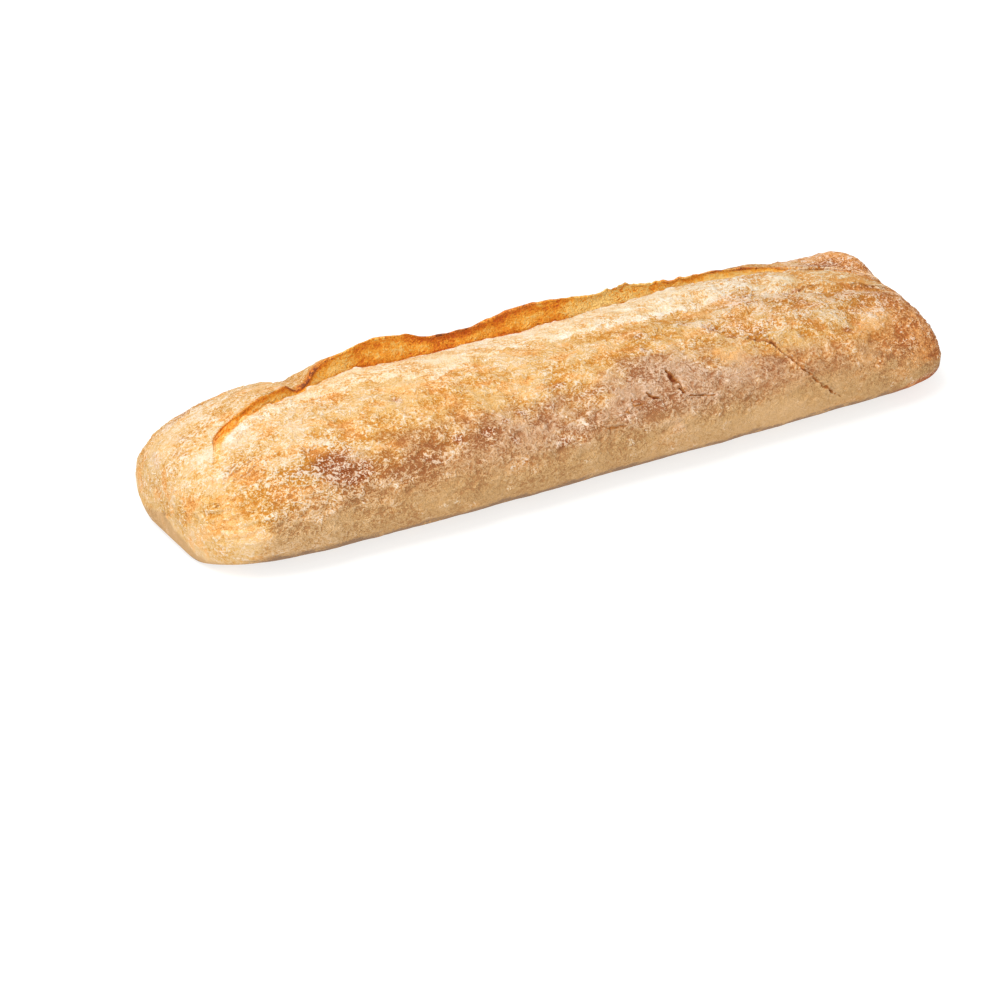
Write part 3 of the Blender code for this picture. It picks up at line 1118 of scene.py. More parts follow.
        # Ripple and grain crests take more flour, their hollows darker tones: partly flour, partly painted
        # shade.
        paint.crest = clamp(0.5 + by_grain * grain + by_ripple * ripple)
        flake = self.edge_flake * max(0.0, self.fractal(place, self.edge_flake_width))
        flake *= self.flake_across.at(share) * self.flake_turn.at(section.slash - section.bloom_edge)
        ruffle = max(0.0, self.fractal(place, self.ruffle_width, 2)) * self.ruffle_across.at(share)
        paint.flour += self.ruffle_flour * ruffle
        hollow = self.hollow * marks.hollow(spot.along, spot.angle)
        hollow *= ease((1.0 - share) * self.hollow_softening)
        folds = self.ruffle * ruffle * section.open + flake - hollow
        return folds + (self.ripple * ripple + self.bloom_grain * grain) * inner


class CutLine:
    """One cut laid on the crust."""

    def __init__(self, cut: Cut, points: Sequence[Vector]) -> None:
        """Keeps the cut's path and the ball that holds it.

        Args:
            cut: The cut.
            points: Its path on the crust.
        """
        self.cut = cut
        self.points = points
        self.middle = sum(points, Vector()) / len(points)
        self.radius = max((point - self.middle).length for point in points)

    def within(self, place: Vector, reach: float) -> bool:
        """Whether a place lies in the ball round the cut, widened by reach."""
        return (place - self.middle).length < self.radius + reach

    def away(self, place: Vector) -> Pair:
        """Distance from a place to the path, up to a metre, and how far along the path that is, 0 to 1.

        Args:
            place: The point.

        Returns:
            The distance in metres and the share of the path.
        """
        best, at = 1.0, 0.0
        for index, (start, end) in enumerate(zip(self.points, self.points[1:])):
            run = end - start
            share = clamp((place - start).dot(run) / max(run.length_squared, 1e-12))
            gap = (place - start - run * share).length
            if gap < best:
                best, at = gap, (index + share) / (len(self.points) - 1)
        return best, at


class CutMap:
    """Where the cuts lie on the loaf, to find how deep the crust is cut at a place."""

    wobble = 0.8 * MM
    wobble_length = 2.6 * MM
    width_length = 1.9 * MM
    ragged_length = 3.1 * MM
    reach_in_widths = 6.0
    least_width = 0.45
    taper_power = 0.7
    taper_ends = (0.02, 0.98)
    uneven_width = (0.6, 0.9)
    uneven_lip = (0.5, 0.9)
    hole_edge = 1.25
    lip_end = 3.5
    lip_across = Hill(0.8, 1.4, lip_end)
    full_lip = 0.5 * MM

    def __init__(self, form: LoafForm, edge: TornEdge, marks: CrustMarks) -> None:
        """Lays the cuts' paths on the crust.

        Args:
            form: The loaf's form.
            edge: Raggedness of the ear's rim.
            marks: The marks that hold the cuts.
        """
        self.lines = [CutLine(cut, cut.points(form, edge)) for cut in marks.cuts]

    def near(self, place: Vector, reach: float) -> bool:
        """Whether a cut passes within reach of a place."""
        return any(line.away(place)[0] < reach for line in self.lines if line.within(place, reach))

    def depth(self, place: Vector) -> tuple[float, float, float]:
        """How the cuts shape the crust at a place.

        Args:
            place: A point of the skin.

        Returns:
            How far it moves outwards, in metres, and how much it is a cut's inside, painted as shade, and a
            cut's lip, 0 to 1.
        """
        height, inside, beside = 0.0, 0.0, 0.0
        for line in self.lines:
            cut = line.cut
            if not line.within(place, self.reach_in_widths * cut.width):
                continue
            away, share = line.away(place + self.wobble * noise.noise_vector(place / self.wobble_length))
            taper = math.sin(math.pi * clamp(share, *self.taper_ends)) ** self.taper_power
            width = cut.width * at_least(self.least_width, taper)
            width *= self._uneven(place, self.width_length, *self.uneven_width)
            if away > self.lip_end * width:
                continue
            hole = ease(self.hole_edge - away / width)
            edge = self._uneven(place, self.ragged_length, *self.uneven_lip)
            edge *= self.lip_across.at(away / width)
            height += cut.lip * edge - cut.depth * hole
            inside = max(inside, hole * cut.shade)
            beside = max(beside, edge * (1.0 - hole) * min(1.0, cut.lip / self.full_lip))
        return height, inside, beside

    def _uneven(self, place: Vector, length: float, least: float, extra: float) -> float:
        """Uneven share at a place, from a least value up."""
        return least + extra * abs(noise.noise(place / length))


@dataclass(frozen=True)
class Tones:
    """Tones of one kind of crust, from the bottoms of its hollows to the flour on its crests."""

    hollow: Color
    dark: Color
    middle: Color
    light: Color
    crest: Color

    @classmethod
    def on_screen(cls, *tones: tuple[int, int, int]) -> "Tones":
        """Tones given as a screen shows them, darkest first."""
        return cls(*(from_screen(*tone) for tone in tones))

    def ladder(self) -> tuple[Color, ...]:
        """The tones in order, darkest first."""
        return self.hollow, self.dark, self.middle, self.light, self.crest


@dataclass(frozen=True)
class Grain:
    """Noise over the object: width of its features in metres, octaves, their strength, stretch and swirl."""

    size: float
    octaves: float = 1.0
    rough: float = 0.5
    stretch: Triple = (1.0, 1.0, 1.0)
    swirl: float = 0.0


@dataclass(frozen=True)
class Texture:
    """How much each grain adds to the uneven tone and to the finest relief of the crust."""

    finest: float = 5.6
    finer: float = 2.6
    fine: float = 1.0
    broad: float = 0.8
    flake: float = 0.95
    fleck: float = -0.2
    crest: float = 1.5
    patchy_tone: float = 2.4
    patchy_scale: Pair = (-2.4, 2.1)


@dataclass(frozen=True)
class Edge:
    """Ragged edge of a finish: the shares where it starts and is full, and how much each grain frays it.

    The grains add to the finish's share, or, where scaled is set, to a factor on it.
    """

    start: float
    full: float
    fine: float = 0.0
    finest: float = 0.0
    broad: float = 0.0
    scaled: bool = False


@dataclass(frozen=True)
class CrustFinish:
    """Tones of the crust, how it is grained and how its finishes meet."""

    name: str = "floured_crust"
    # Tan crust of the lower sides; its darker tones are partly painted shade where the sides turn from the
    # light.
    side: Tones = Tones.on_screen(
        (172, 122, 74), (190, 145, 92), (199, 156, 103), (205, 163, 113), (213, 175, 129)
    )
    tan: Tones = Tones.on_screen(
        (152, 90, 46), (181, 128, 78), (197, 148, 100), (209, 166, 123), (226, 190, 156)
    )
    dusty: Tones = Tones.on_screen(
        (156, 98, 58), (187, 139, 99), (200, 158, 122), (210, 173, 142), (226, 193, 165)
    )
    golden: Tones = Tones.on_screen(
        (199, 127, 38), (215, 160, 83), (222, 179, 114), (228, 190, 139), (240, 219, 192)
    )
    amber: Tones = Tones.on_screen(
        (204, 130, 58), (226, 158, 82), (233, 174, 102), (237, 190, 130), (243, 218, 184)
    )
    toasted: Tones = Tones.on_screen(
        (176, 98, 42), (212, 139, 70), (227, 159, 92), (236, 180, 122), (250, 220, 196)
    )
    bloom: Tones = Tones.on_screen(
        (218, 152, 76), (232, 190, 132), (238, 208, 163), (242, 219, 186), (247, 234, 216)
    )
    browned: Tones = Tones.on_screen(
        (140, 68, 24), (168, 96, 48), (190, 124, 76), (210, 162, 122), (236, 208, 184)
    )
    torn: Tones = Tones.on_screen(
        (204, 97, 16), (236, 140, 32), (247, 164, 47), (255, 188, 74), (255, 212, 128)
    )
    # Warm gold and brown painted shade for the cuts, the slash's bottom and the torn face's foot.
    recess_shade_gold: Color = from_screen(186, 122, 62)
    recess_shade_brown: Color = from_screen(138, 70, 28)
    rim_gold: Color = from_screen(220, 126, 46)
    rim_brown: Color = from_screen(138, 72, 34)
    # Colours of the bottom crust, which also carry painted shade near the floor.
    base_brown_and_shade: Color = from_screen(150, 116, 86)
    base_toast_and_shade: Color = from_screen(176, 98, 46)
    finest: Grain = Grain(1.0 * MM, 1.0, 0.6, swirl=1.2)
    finer: Grain = Grain(1.9 * MM, 0.0, 0.5, (0.8, 1.0, 1.0), 1.6)
    fine: Grain = Grain(4.0 * MM, 0.0, 0.5, (0.7, 1.0, 1.0))
    broad: Grain = Grain(9.0 * MM, 1.0, 0.5, (0.6, 1.0, 1.0))
    patchy: Grain = Grain(12.0 * MM, 1.0, 0.5, (0.7, 1.0, 1.0))
    warmth: Grain = Grain(7.0 * MM, 1.0, 0.5, (0.5, 1.0, 1.0))
    mottle: Grain = Grain(5.0 * MM, 2.0, 0.6, (0.6, 1.0, 1.0))
    pull: Grain = Grain(12.0 * MM, 2.0, 0.5, (1.0, 0.3, 0.3))
    flake: Grain = Grain(2.4 * MM, 1.0, 0.5, (0.6, 1.0, 1.0), 1.0)
    fleck: Grain = Grain(1.44 * MM, 1.0, 0.5, (0.6, 1.0, 1.0), 1.0)
    flake_thinness: float = 14.0
    fleck_thinness: float = 9.0
    texture: Texture = Texture()
    dusty_edge: Edge = Edge(0.05, 0.95, fine=0.36, broad=0.6)
    gold_edge: Edge = Edge(0.05, 0.95, fine=0.54, broad=0.9)
    toast_edge: Edge = Edge(0.05, 0.95, fine=0.6, broad=1.0)
    brown_edge: Edge = Edge(0.15, 1.15, fine=1.0, finest=1.2)
    bloom_edge: Edge = Edge(0.3, 0.7, fine=1.4, finest=0.8)
    rim_gold_edge: Edge = Edge(0.4, 0.8, fine=1.4, finest=2.6, broad=2.0, scaled=True)
    rim_brown_edge: Edge = Edge(0.8, 1.2, fine=1.4, finest=2.6, broad=2.0, scaled=True)
    recess_shade_gold_edge: Edge = Edge(0.1, 0.3, finest=1.0, scaled=True)
    recess_shade_brown_edge: Edge = Edge(0.35, 0.7, finest=1.0, scaled=True)
    base_and_shade_edge: Edge = Edge(0.25, 0.8, fine=2.0, finest=2.4, scaled=True)
    warm_range: Pair = (0.48, 0.66)
    brown_tone: Pair = (1.25, -0.35)
    bloom_texture: float = 0.8
    bloom_mottle: float = 3.0
    torn_texture: float = 0.8
    torn_pull: float = 2.6
    bump: float = 0.5 * MM
    bump_strength: float = 0.6
    dry_roughness: float = 0.84
    torn_roughness: float = 0.48
    shine: float = 0.3

    def build(self) -> bpy.types.Material:
        """Makes the crust's material.

        Returns:
            A material that reads the skin's own attributes and the object's coordinates.
        """
        return CrustShader(self).build()


class CrustShader:
    """Nodes of the crust's material."""

    ladder_places = (0.3, 0.5, 0.7)
    ladder_scale = 0.39
    ladder_middle = 0.5

    def __init__(self, finish: CrustFinish) -> None:
        """Starts the material with the grains that several of its finishes share.

        Args:
            finish: The colours and grain sizes.
        """
        self.finish = finish
        self.material = bpy.data.materials.new(finish.name)
        self.material.use_nodes = True
        self.tree = self.material.node_tree
        self.tree.nodes.clear()
        self.place = self.tree.nodes.new("ShaderNodeTexCoord").outputs["Object"]
        self.broad = self.grain(finish.broad)
        self.fine = self.grain(finish.fine)
        self.finest = self.grain(finish.finest)

    def share(self, name: str) -> Socket:
        """Share of a finish, read from the skin's attribute."""
        node = self.tree.nodes.new("ShaderNodeAttribute")
        node.attribute_name = name
        return node.outputs["Fac"]

    def grain(self, grain: Grain) -> Socket:
        """Noise over the object, 0 to 1, about 0.5.

        Args:
            grain: Size and kind of the noise.

        Returns:
            The noise's socket.
        """
        mapping = self.tree.nodes.new("ShaderNodeMapping")
        mapping.inputs["Scale"].default_value = grain.stretch
        self.tree.links.new(self.place, mapping.inputs["Vector"])
        node = self.tree.nodes.new("ShaderNodeTexNoise")
        node.inputs["Scale"].default_value = 1.0 / grain.size
        node.inputs["Detail"].default_value = grain.octaves
        node.inputs["Roughness"].default_value = grain.rough
        node.inputs["Distortion"].default_value = grain.swirl
        self.tree.links.new(mapping.outputs["Vector"], node.inputs["Vector"])
        return node.outputs["Fac"]

    def math(
        self, operation: str, first: Socket | float, second: Socket | float = 0.0, third: Socket | float = 0.0
    ) -> Socket:
        """One sum on sockets or numbers.

        Args:
            operation: The Math node's operation.
            first: First term.
            second: Second term.
            third: Third term.

        Returns:
            The result.
        """
        node = self.tree.nodes.new("ShaderNodeMath")
        node.operation = operation
        for index, term in enumerate((first, second, third)):
            if isinstance(term, (int, float)):
                node.inputs[index].default_value = term
            else:
                self.tree.links.new(term, node.inputs[index])
        return node.outputs["Value"]

    def step(self, value: Socket, low: float, high: float) -> Socket:
        """Smooth step of a value from 0 at low to 1 at high.

        Args:
            value: The value.
            low: Where the step starts.
            high: Where it is full.

        Returns:
            The step, 0 to 1.
        """
        node = self.tree.nodes.new("ShaderNodeMapRange")
        node.interpolation_type = "SMOOTHSTEP"
        node.inputs["From Min"].default_value = low
        node.inputs["From Max"].default_value = high
        self.tree.links.new(value, node.inputs["Value"])
        return node.outputs["Result"]

    def mix(self, share: Socket, first: Socket | Color, second: Socket | Color) -> Socket:
        """Mixes two colours.

        Args:
            share: Share of the second, 0 to 1.
            first: First colour.
            second: Second colour.

        Returns:
            The mixed colour.
        """
        node = self.tree.nodes.new("ShaderNodeMix")
        node.data_type = "RGBA"
        self.tree.links.new(share, node.inputs["Factor"])
        for name, color in (("A", first), ("B", second)):
            socket = next(s for s in node.inputs if s.name == name and s.type == "RGBA")
            if isinstance(color, tuple):
                socket.default_value = color
            else:
                self.tree.links.new(color, socket)
        return next(s for s in node.outputs if s.type == "RGBA")

    def centred(self, value: Socket, strength: float, onto: Socket | float = 0.0) -> Socket:
        """Noise about zero, times a strength, added onto another value."""
        return self.math("ADD", onto, self.math("MULTIPLY_ADD", value, strength, -0.5 * strength))

    def edge(self, name: str, edge: Edge) -> Socket:
        """Share of a finish with its edge frayed.

        Args:
            name: The share's name.
            edge: How the grains fray it.

        Returns:
            The share, 0 to 1.
        """
        share = self.share(name)
        frayed = 1.0 if edge.scaled else share
        for grain, strength in ((self.fine, edge.fine), (self.finest, edge.finest), (self.broad, edge.broad)):
            if strength:
                frayed = self.centred(grain, strength, frayed)
        if edge.scaled:
            frayed = self.math("MULTIPLY", share, frayed)
        return self.step(frayed, edge.start, edge.full)

    def flakes(self, grain: Grain, thinness: float) -> Socket:
        """Thin crooked lines, 1 on a line and 0 between."""
        away = self.math("ABSOLUTE", self.math("SUBTRACT", self.grain(grain), 0.5))
        return self.math("MAXIMUM", self.math("MULTIPLY_ADD", away, -thinness, 1.0), 0.0)

    def tones(self, value: Socket, tones: Tones) -> Socket:
        """Colour on a ladder of tones.

        Args:
            value: About -1.3 for the darkest tone to 1.3 for the lightest.
            tones: The ladder.

        Returns:
            The colour.
        """
        node = self.tree.nodes.new("ShaderNodeValToRGB")
        ramp = node.color_ramp
        for place in self.ladder_places:
            ramp.elements.new(place)
        for element, color in zip(ramp.elements, tones.ladder()):
            element.color = color
        place = self.math("MULTIPLY_ADD", value, self.ladder_scale, self.ladder_middle)
        self.tree.links.new(place, node.inputs["Fac"])
        return node.outputs["Color"]

    def build(self) -> bpy.types.Material:
        """Joins the nodes up.

        Returns:
            The finished material.
        """
        finish, by = self.finish, self.finish.texture
        flakes = self.flakes(finish.flake, finish.flake_thinness)
        flecks = self.flakes(finish.fleck, finish.fleck_thinness)
        texture = self.centred(self.finest, by.finest)
        texture = self.centred(self.grain(finish.finer), by.finer, texture)
        texture = self.centred(self.fine, by.fine, texture)
        texture = self.centred(self.broad, by.broad, texture)
        texture = self.math("MULTIPLY_ADD", flakes, by.flake, texture)
        texture = self.math("MULTIPLY_ADD", flecks, by.fleck, texture)
        # The crest share lightens ridges and darkens hollows: partly flour, partly painted shade.
        texture = self.centred(self.share("crest"), by.crest, texture)
        patchy = self.grain(finish.patchy)
        uneven = self.math("MULTIPLY", texture, self.math("MULTIPLY_ADD", patchy, *by.patchy_scale))
        rough = self.math("MULTIPLY", self.centred(patchy, by.patchy_tone, uneven), self.share("rough"))
        color = self._baked(rough)
        color = self._bloomed(color, rough)
        color = self._torn(color, self.math("MULTIPLY", texture, self.share("rough")))
        color = self._edged(color)
        self._surface(color, texture)
        return self.material

    def _baked(self, rough: Socket) -> Socket:
        """Baked crust: tan on the sides, darker there partly as painted shade, dusty above, golden on top,
        toasted at the end, brown in patches, a few of them painted shade.

        Args:
            rough: Uneven tone of the crust.

        Returns:
            The colour.
        """
        finish = self.finish
        tone = self.math("ADD", rough, self.share("flour"))
        warmth = self.grain(finish.warmth)
        warm = self.step(warmth, *finish.warm_range)
        gold = self.mix(warm, self.tones(tone, finish.golden), self.tones(tone, finish.amber))
        crust = self.tones(tone, finish.side)
        dusty = self.mix(self.share("rosy"), self.tones(tone, finish.tan), self.tones(tone, finish.dusty))
        toasted = self.tones(tone, finish.toasted)
        crust = self.mix(self.edge("dusty", finish.dusty_edge), crust, dusty)
        crust = self.mix(self.edge("gold", finish.gold_edge), crust, gold)
        crust = self.mix(self.edge("toast", finish.toast_edge), crust, toasted)
        browned = self.tones(self.math("MULTIPLY_ADD", rough, *finish.brown_tone), finish.browned)
        return self.mix(self.edge("brown", finish.brown_edge), crust, browned)

    def _bloomed(self, crust: Socket, rough: Socket) -> Socket:
        """Bloom: pale floured dough with a ragged edge.

        Args:
            crust: Colour under the bloom.
            rough: Uneven tone of the crust.

        Returns:
            The colour.
        """
        finish = self.finish
        tone = self.math("MULTIPLY_ADD", rough, finish.bloom_texture, self.share("flour"))
        tone = self.centred(self.grain(finish.mottle), finish.bloom_mottle, tone)
        return self.mix(self.edge("bloom", finish.bloom_edge), crust, self.tones(tone, finish.bloom))

    def _torn(self, crust: Socket, texture: Socket) -> Socket:
        """Torn face of the ear: orange-gold with paler stretches and darker pores.

        Args:
            crust: Colour beside the ear.
            texture: Uneven tone of the torn face.

        Returns:
            The colour.
        """
        finish = self.finish
        tone = self.math("MULTIPLY_ADD", texture, finish.torn_texture, self.share("flour"))
        tone = self.centred(self.grain(finish.pull), finish.torn_pull, tone)
        return self.mix(self.share("torn"), crust, self.tones(tone, finish.torn))

    def _edged(self, crust: Socket) -> Socket:
        """Scorched rim of the ear, painted shade in cuts and recesses, and the browner bottom with painted
        shade by the floor.

        Args:
            crust: Colour so far.

        Returns:
            The colour.
        """
        finish = self.finish
        crust = self.mix(self.edge("rim", finish.rim_gold_edge), crust, finish.rim_gold)
        crust = self.mix(self.edge("rim", finish.rim_brown_edge), crust, finish.rim_brown)
        # Painted shade in cuts and recesses: warm gold at their edges, brown deeper in.
        crust = self.mix(self.edge("recess_shade", finish.recess_shade_gold_edge), crust, finish.recess_shade_gold)
        crust = self.mix(self.edge("recess_shade", finish.recess_shade_brown_edge), crust, finish.recess_shade_brown)
        bottom = self.mix(self.share("toast"), finish.base_brown_and_shade, finish.base_toast_and_shade)
        return self.mix(self.edge("under", finish.base_and_shade_edge), crust, bottom)

    def _surface(self, color: Socket, texture: Socket) -> None:
        """Puts the colour, the shine and the finest relief on the surface.

        Args:
            color: Colour of the crust.
            texture: Height of the finest relief.
        """
        finish = self.finish
        shader = self.tree.nodes.new("ShaderNodeBsdfPrincipled")
        shader.inputs["Specular IOR Level"].default_value = finish.shine
        self.tree.links.new(color, shader.inputs["Base Color"])
        glossier = finish.torn_roughness - finish.dry_roughness
        roughness = self.math("MULTIPLY_ADD", self.share("torn"), glossier, finish.dry_roughness)
        self.tree.links.new(roughness, shader.inputs["Roughness"])
        bump = self.tree.nodes.new("ShaderNodeBump")
        bump.inputs["Strength"].default_value = finish.bump_strength
        bump.inputs["Distance"].default_value = finish.bump
        self.tree.links.new(self.math("MULTIPLY", texture, self.share("rough")), bump.inputs["Height"])
        self.tree.links.new(bump.outputs["Normal"], shader.inputs["Normal"])
        output = self.tree.nodes.new("ShaderNodeOutputMaterial")
        self.tree.links.new(shader.outputs["BSDF"], output.inputs["Surface"])


@dataclass(frozen=True)
class EarBake:
    """How the ear's torn face and rim are baked, along the loaf and in shares of the way up the face."""

    tone_along: Curve = Curve.through(
        (-0.90, 0.0), (-0.76, 0.2), (-0.70, 0.3), (-0.65, -0.1), (-0.58, 0.1), (-0.50, 0.1), (-0.44, 0.15),
        (-0.38, 0.05), (-0.28, -0.4), (-0.22, -0.7), (-0.14, -0.4), (-0.03, 0.15), (0.07, 0.2), (0.12, 0.5),
        (0.19, 0.7), (0.28, 0.5), (0.36, 0.1), (0.44, 0.6), (0.50, 0.6), (0.58, 0.9), (0.70, 0.9),
    )
    scorch_along: Curve = Curve.through(
        (-0.93, 0.6), (-0.66, 0.9), (-0.62, 1.9), (-0.58, 1.7), (-0.48, 0.5), (-0.38, 0.4), (-0.29, 0.7),
        (-0.24, 1.2), (-0.16, 1.2), (-0.10, 1.1), (-0.01, 1.1), (0.04, 0.5), (0.12, 0.1), (0.34, 0.1),
        (0.42, 0.8), (0.75, 0.8),
    )
    open_rise: float = 0.8 * MM
    deep_rise: float = 3.0 * MM
    torn_at_foot: float = 0.4
    torn_gain: float = 6.0
    rough: float = 0.7
    rough_along: Hill = Hill(0.06, 0.28, 0.50, 0.8)
    light_up: Hill = Hill(0.2, 0.5, 0.8, 0.4)
    dark_foot_shade_up: Hill = Hill(-0.4, 0.0, 0.40, 0.7)
    dark_foot_shade_along: Hill = Hill(-0.65, -0.10, 0.32)
    scorched_up: Step = Step(0.6, 0.4, 0.9)
    face_rim_up: Hill = Hill(0.72, 1.0, 1.3, 0.6)
    foot_recess_shade_up: Hill = Hill(-0.4, 0.0, 0.2, 0.35)
    rim_light_along: Hill = Hill(0.18, 0.33, 0.50, 0.6)
    rim_scorch: float = 0.75
    far_scorch: float = 0.7
    far_scorch_fade: float = 60.0
    crumb_fade: float = 70.0
    crumb_along: Hill = Hill(0.0, 0.28, 0.60)
    crumb_flour: float = 1.2

    def opened(self, spot: Spot) -> float:
        """How far the slash stands open at a point, 0 to 1."""
        return spot.ear(self.open_rise) * spot.section.open

    def face(self, spot: Spot, paint: Paint) -> None:
        """Paints the torn face: lightest half way up, darker at the foot as painted shade in the slash,
        scorched under the rim.

        Args:
            spot: The point of the skin.
            paint: Shares of each finish there, changed in place.
        """
        scorch = self.scorch_along.at(spot.along)
        paint.torn = self.opened(spot) * ease(spot.share * self.torn_gain + self.torn_at_foot)
        paint.rough = self.rough + self.rough_along.at(spot.along)
        paint.flour = self.tone_along.at(spot.along) + self.light_up.at(spot.share)
        # Painted shade along the face's foot, in the bottom of the slash.
        paint.flour -= self.dark_foot_shade_up.at(spot.share) * self.dark_foot_shade_along.at(spot.along)
        paint.flour -= self.scorched_up.at(spot.share) * scorch
        paint.rim = self.face_rim_up.at(spot.share) * self.opened(spot) * scorch
        paint.recess_shade = self.foot_recess_shade_up.at(spot.share) * spot.ear(self.deep_rise)

    def rim(self, spot: Spot, paint: Paint) -> None:
        """Paints the rim: torn, lighter where it is crumbly, and scorched.

        Args:
            spot: The point of the skin.
            paint: Shares of each finish there, changed in place.
        """
        paint.torn = self.opened(spot)
        paint.flour = self.tone_along.at(spot.along) + self.rim_light_along.at(spot.along)
        paint.rim = self.rim_scorch * self.opened(spot) * self.scorch_along.at(spot.along)

    def behind(self, spot: Spot, paint: Paint) -> None:
        """Paints the crust just behind the rim: scorched along it, with a few torn crumbs.

        Args:
            spot: The point of the skin.
            paint: Shares of each finish there, changed in place.
        """
        scorch = self.far_scorch * math.exp(-spot.share * self.far_scorch_fade)
        paint.rim = self.opened(spot) * scorch * self.scorch_along.at(spot.along)
        crumbs = math.exp(-spot.share * self.crumb_fade) * self.crumb_along.at(spot.along)
        paint.torn = self.opened(spot) * crumbs
        paint.flour += self.crumb_flour * paint.torn


@dataclass(frozen=True)
class BloomBake:
    """How the bloom and the crust beside it are baked, along the loaf and in shares of the way across."""

    pale_across: Hill = Hill(-0.13, 0.22, 3.0)
    started_along: Step = Step(-0.90, 0.30)
    least_start: float = 0.35
    end_along: Step = Step(0.80, 0.15, 0.6)
    rough: float = 0.95
    floury_along: Hill = Hill(0.0, 0.48, 0.62, 0.3)
    bare_along: Step = Step(0.58, 0.12, 0.9)
    edge_across: Hill = Hill(0.0, 0.05, 0.14, 0.9)
    edge_along: Hill = Hill(-0.2, 0.2, 0.65)
    slash_shade_across: Step = Step(0.92, 0.08, 0.25)
    deep_rise: float = 3.0 * MM
    torn_along: Hill = Hill(-0.935, -0.87, -0.63)
    torn_across: Step = Step(0.50, 0.20)
    beside_up: Step = Step(0.975, 0.025, 0.35)
    crease_shade_up: Hill = Hill(0.93, 0.97, 0.995, 0.7)
    crease_shade_along: Hill = Hill(-0.25, 0.2, 0.7)
    rough_edge_up: Hill = Hill(0.90, 0.96, 1.0, 0.5)
    rough_edge_along: Step = Step(0.1, 0.3)

    def over(self, spot: Spot, lively: float, paint: Paint) -> None:
        """Paints the bloom: pale and floury, torn at its left tip.

        Args:
            spot: The point of the skin.
            lively: How rough the upper crust is there.
            paint: Shares of each finish there, changed in place.
        """
        along, share = spot.along, spot.share
        started = at_least(self.least_start, self.started_along.at(along))
        paint.bloom = self.pale_across.at(share) * started * spot.section.open
        paint.bloom *= 1.0 - self.end_along.at(along)
        paint.rough = self.rough * lively
        paint.flour += self.floury_along.at(along) - self.bare_along.at(along)
        paint.flour += self.edge_across.at(share) * self.edge_along.at(along)
        # Painted shade at the bottom of the slash, stronger where the ear stands higher.
        paint.recess_shade = self.slash_shade_across.at(share) * spot.ear(self.deep_rise)
        paint.torn = self.torn_along.at(along) * self.torn_across.at(share)
        paint.flour -= paint.flour * paint.torn

    def beside(self, spot: Spot, paint: Paint) -> None:
        """Paints the near crust up to the bloom: painted shade along the crease, and a rougher edge there.

        Args:
            spot: The point of the skin.
            paint: Shares of each finish there, changed in place.
        """
        along, share = spot.along, spot.share
        paint.bloom = self.beside_up.at(share) * spot.section.open
        # Less flour along the crease: painted shade in the groove.
        paint.flour -= self.crease_shade_up.at(share) * self.crease_shade_along.at(along)
        paint.rough *= 1.0 + self.rough_edge_up.at(share) * self.rough_edge_along.at(along)


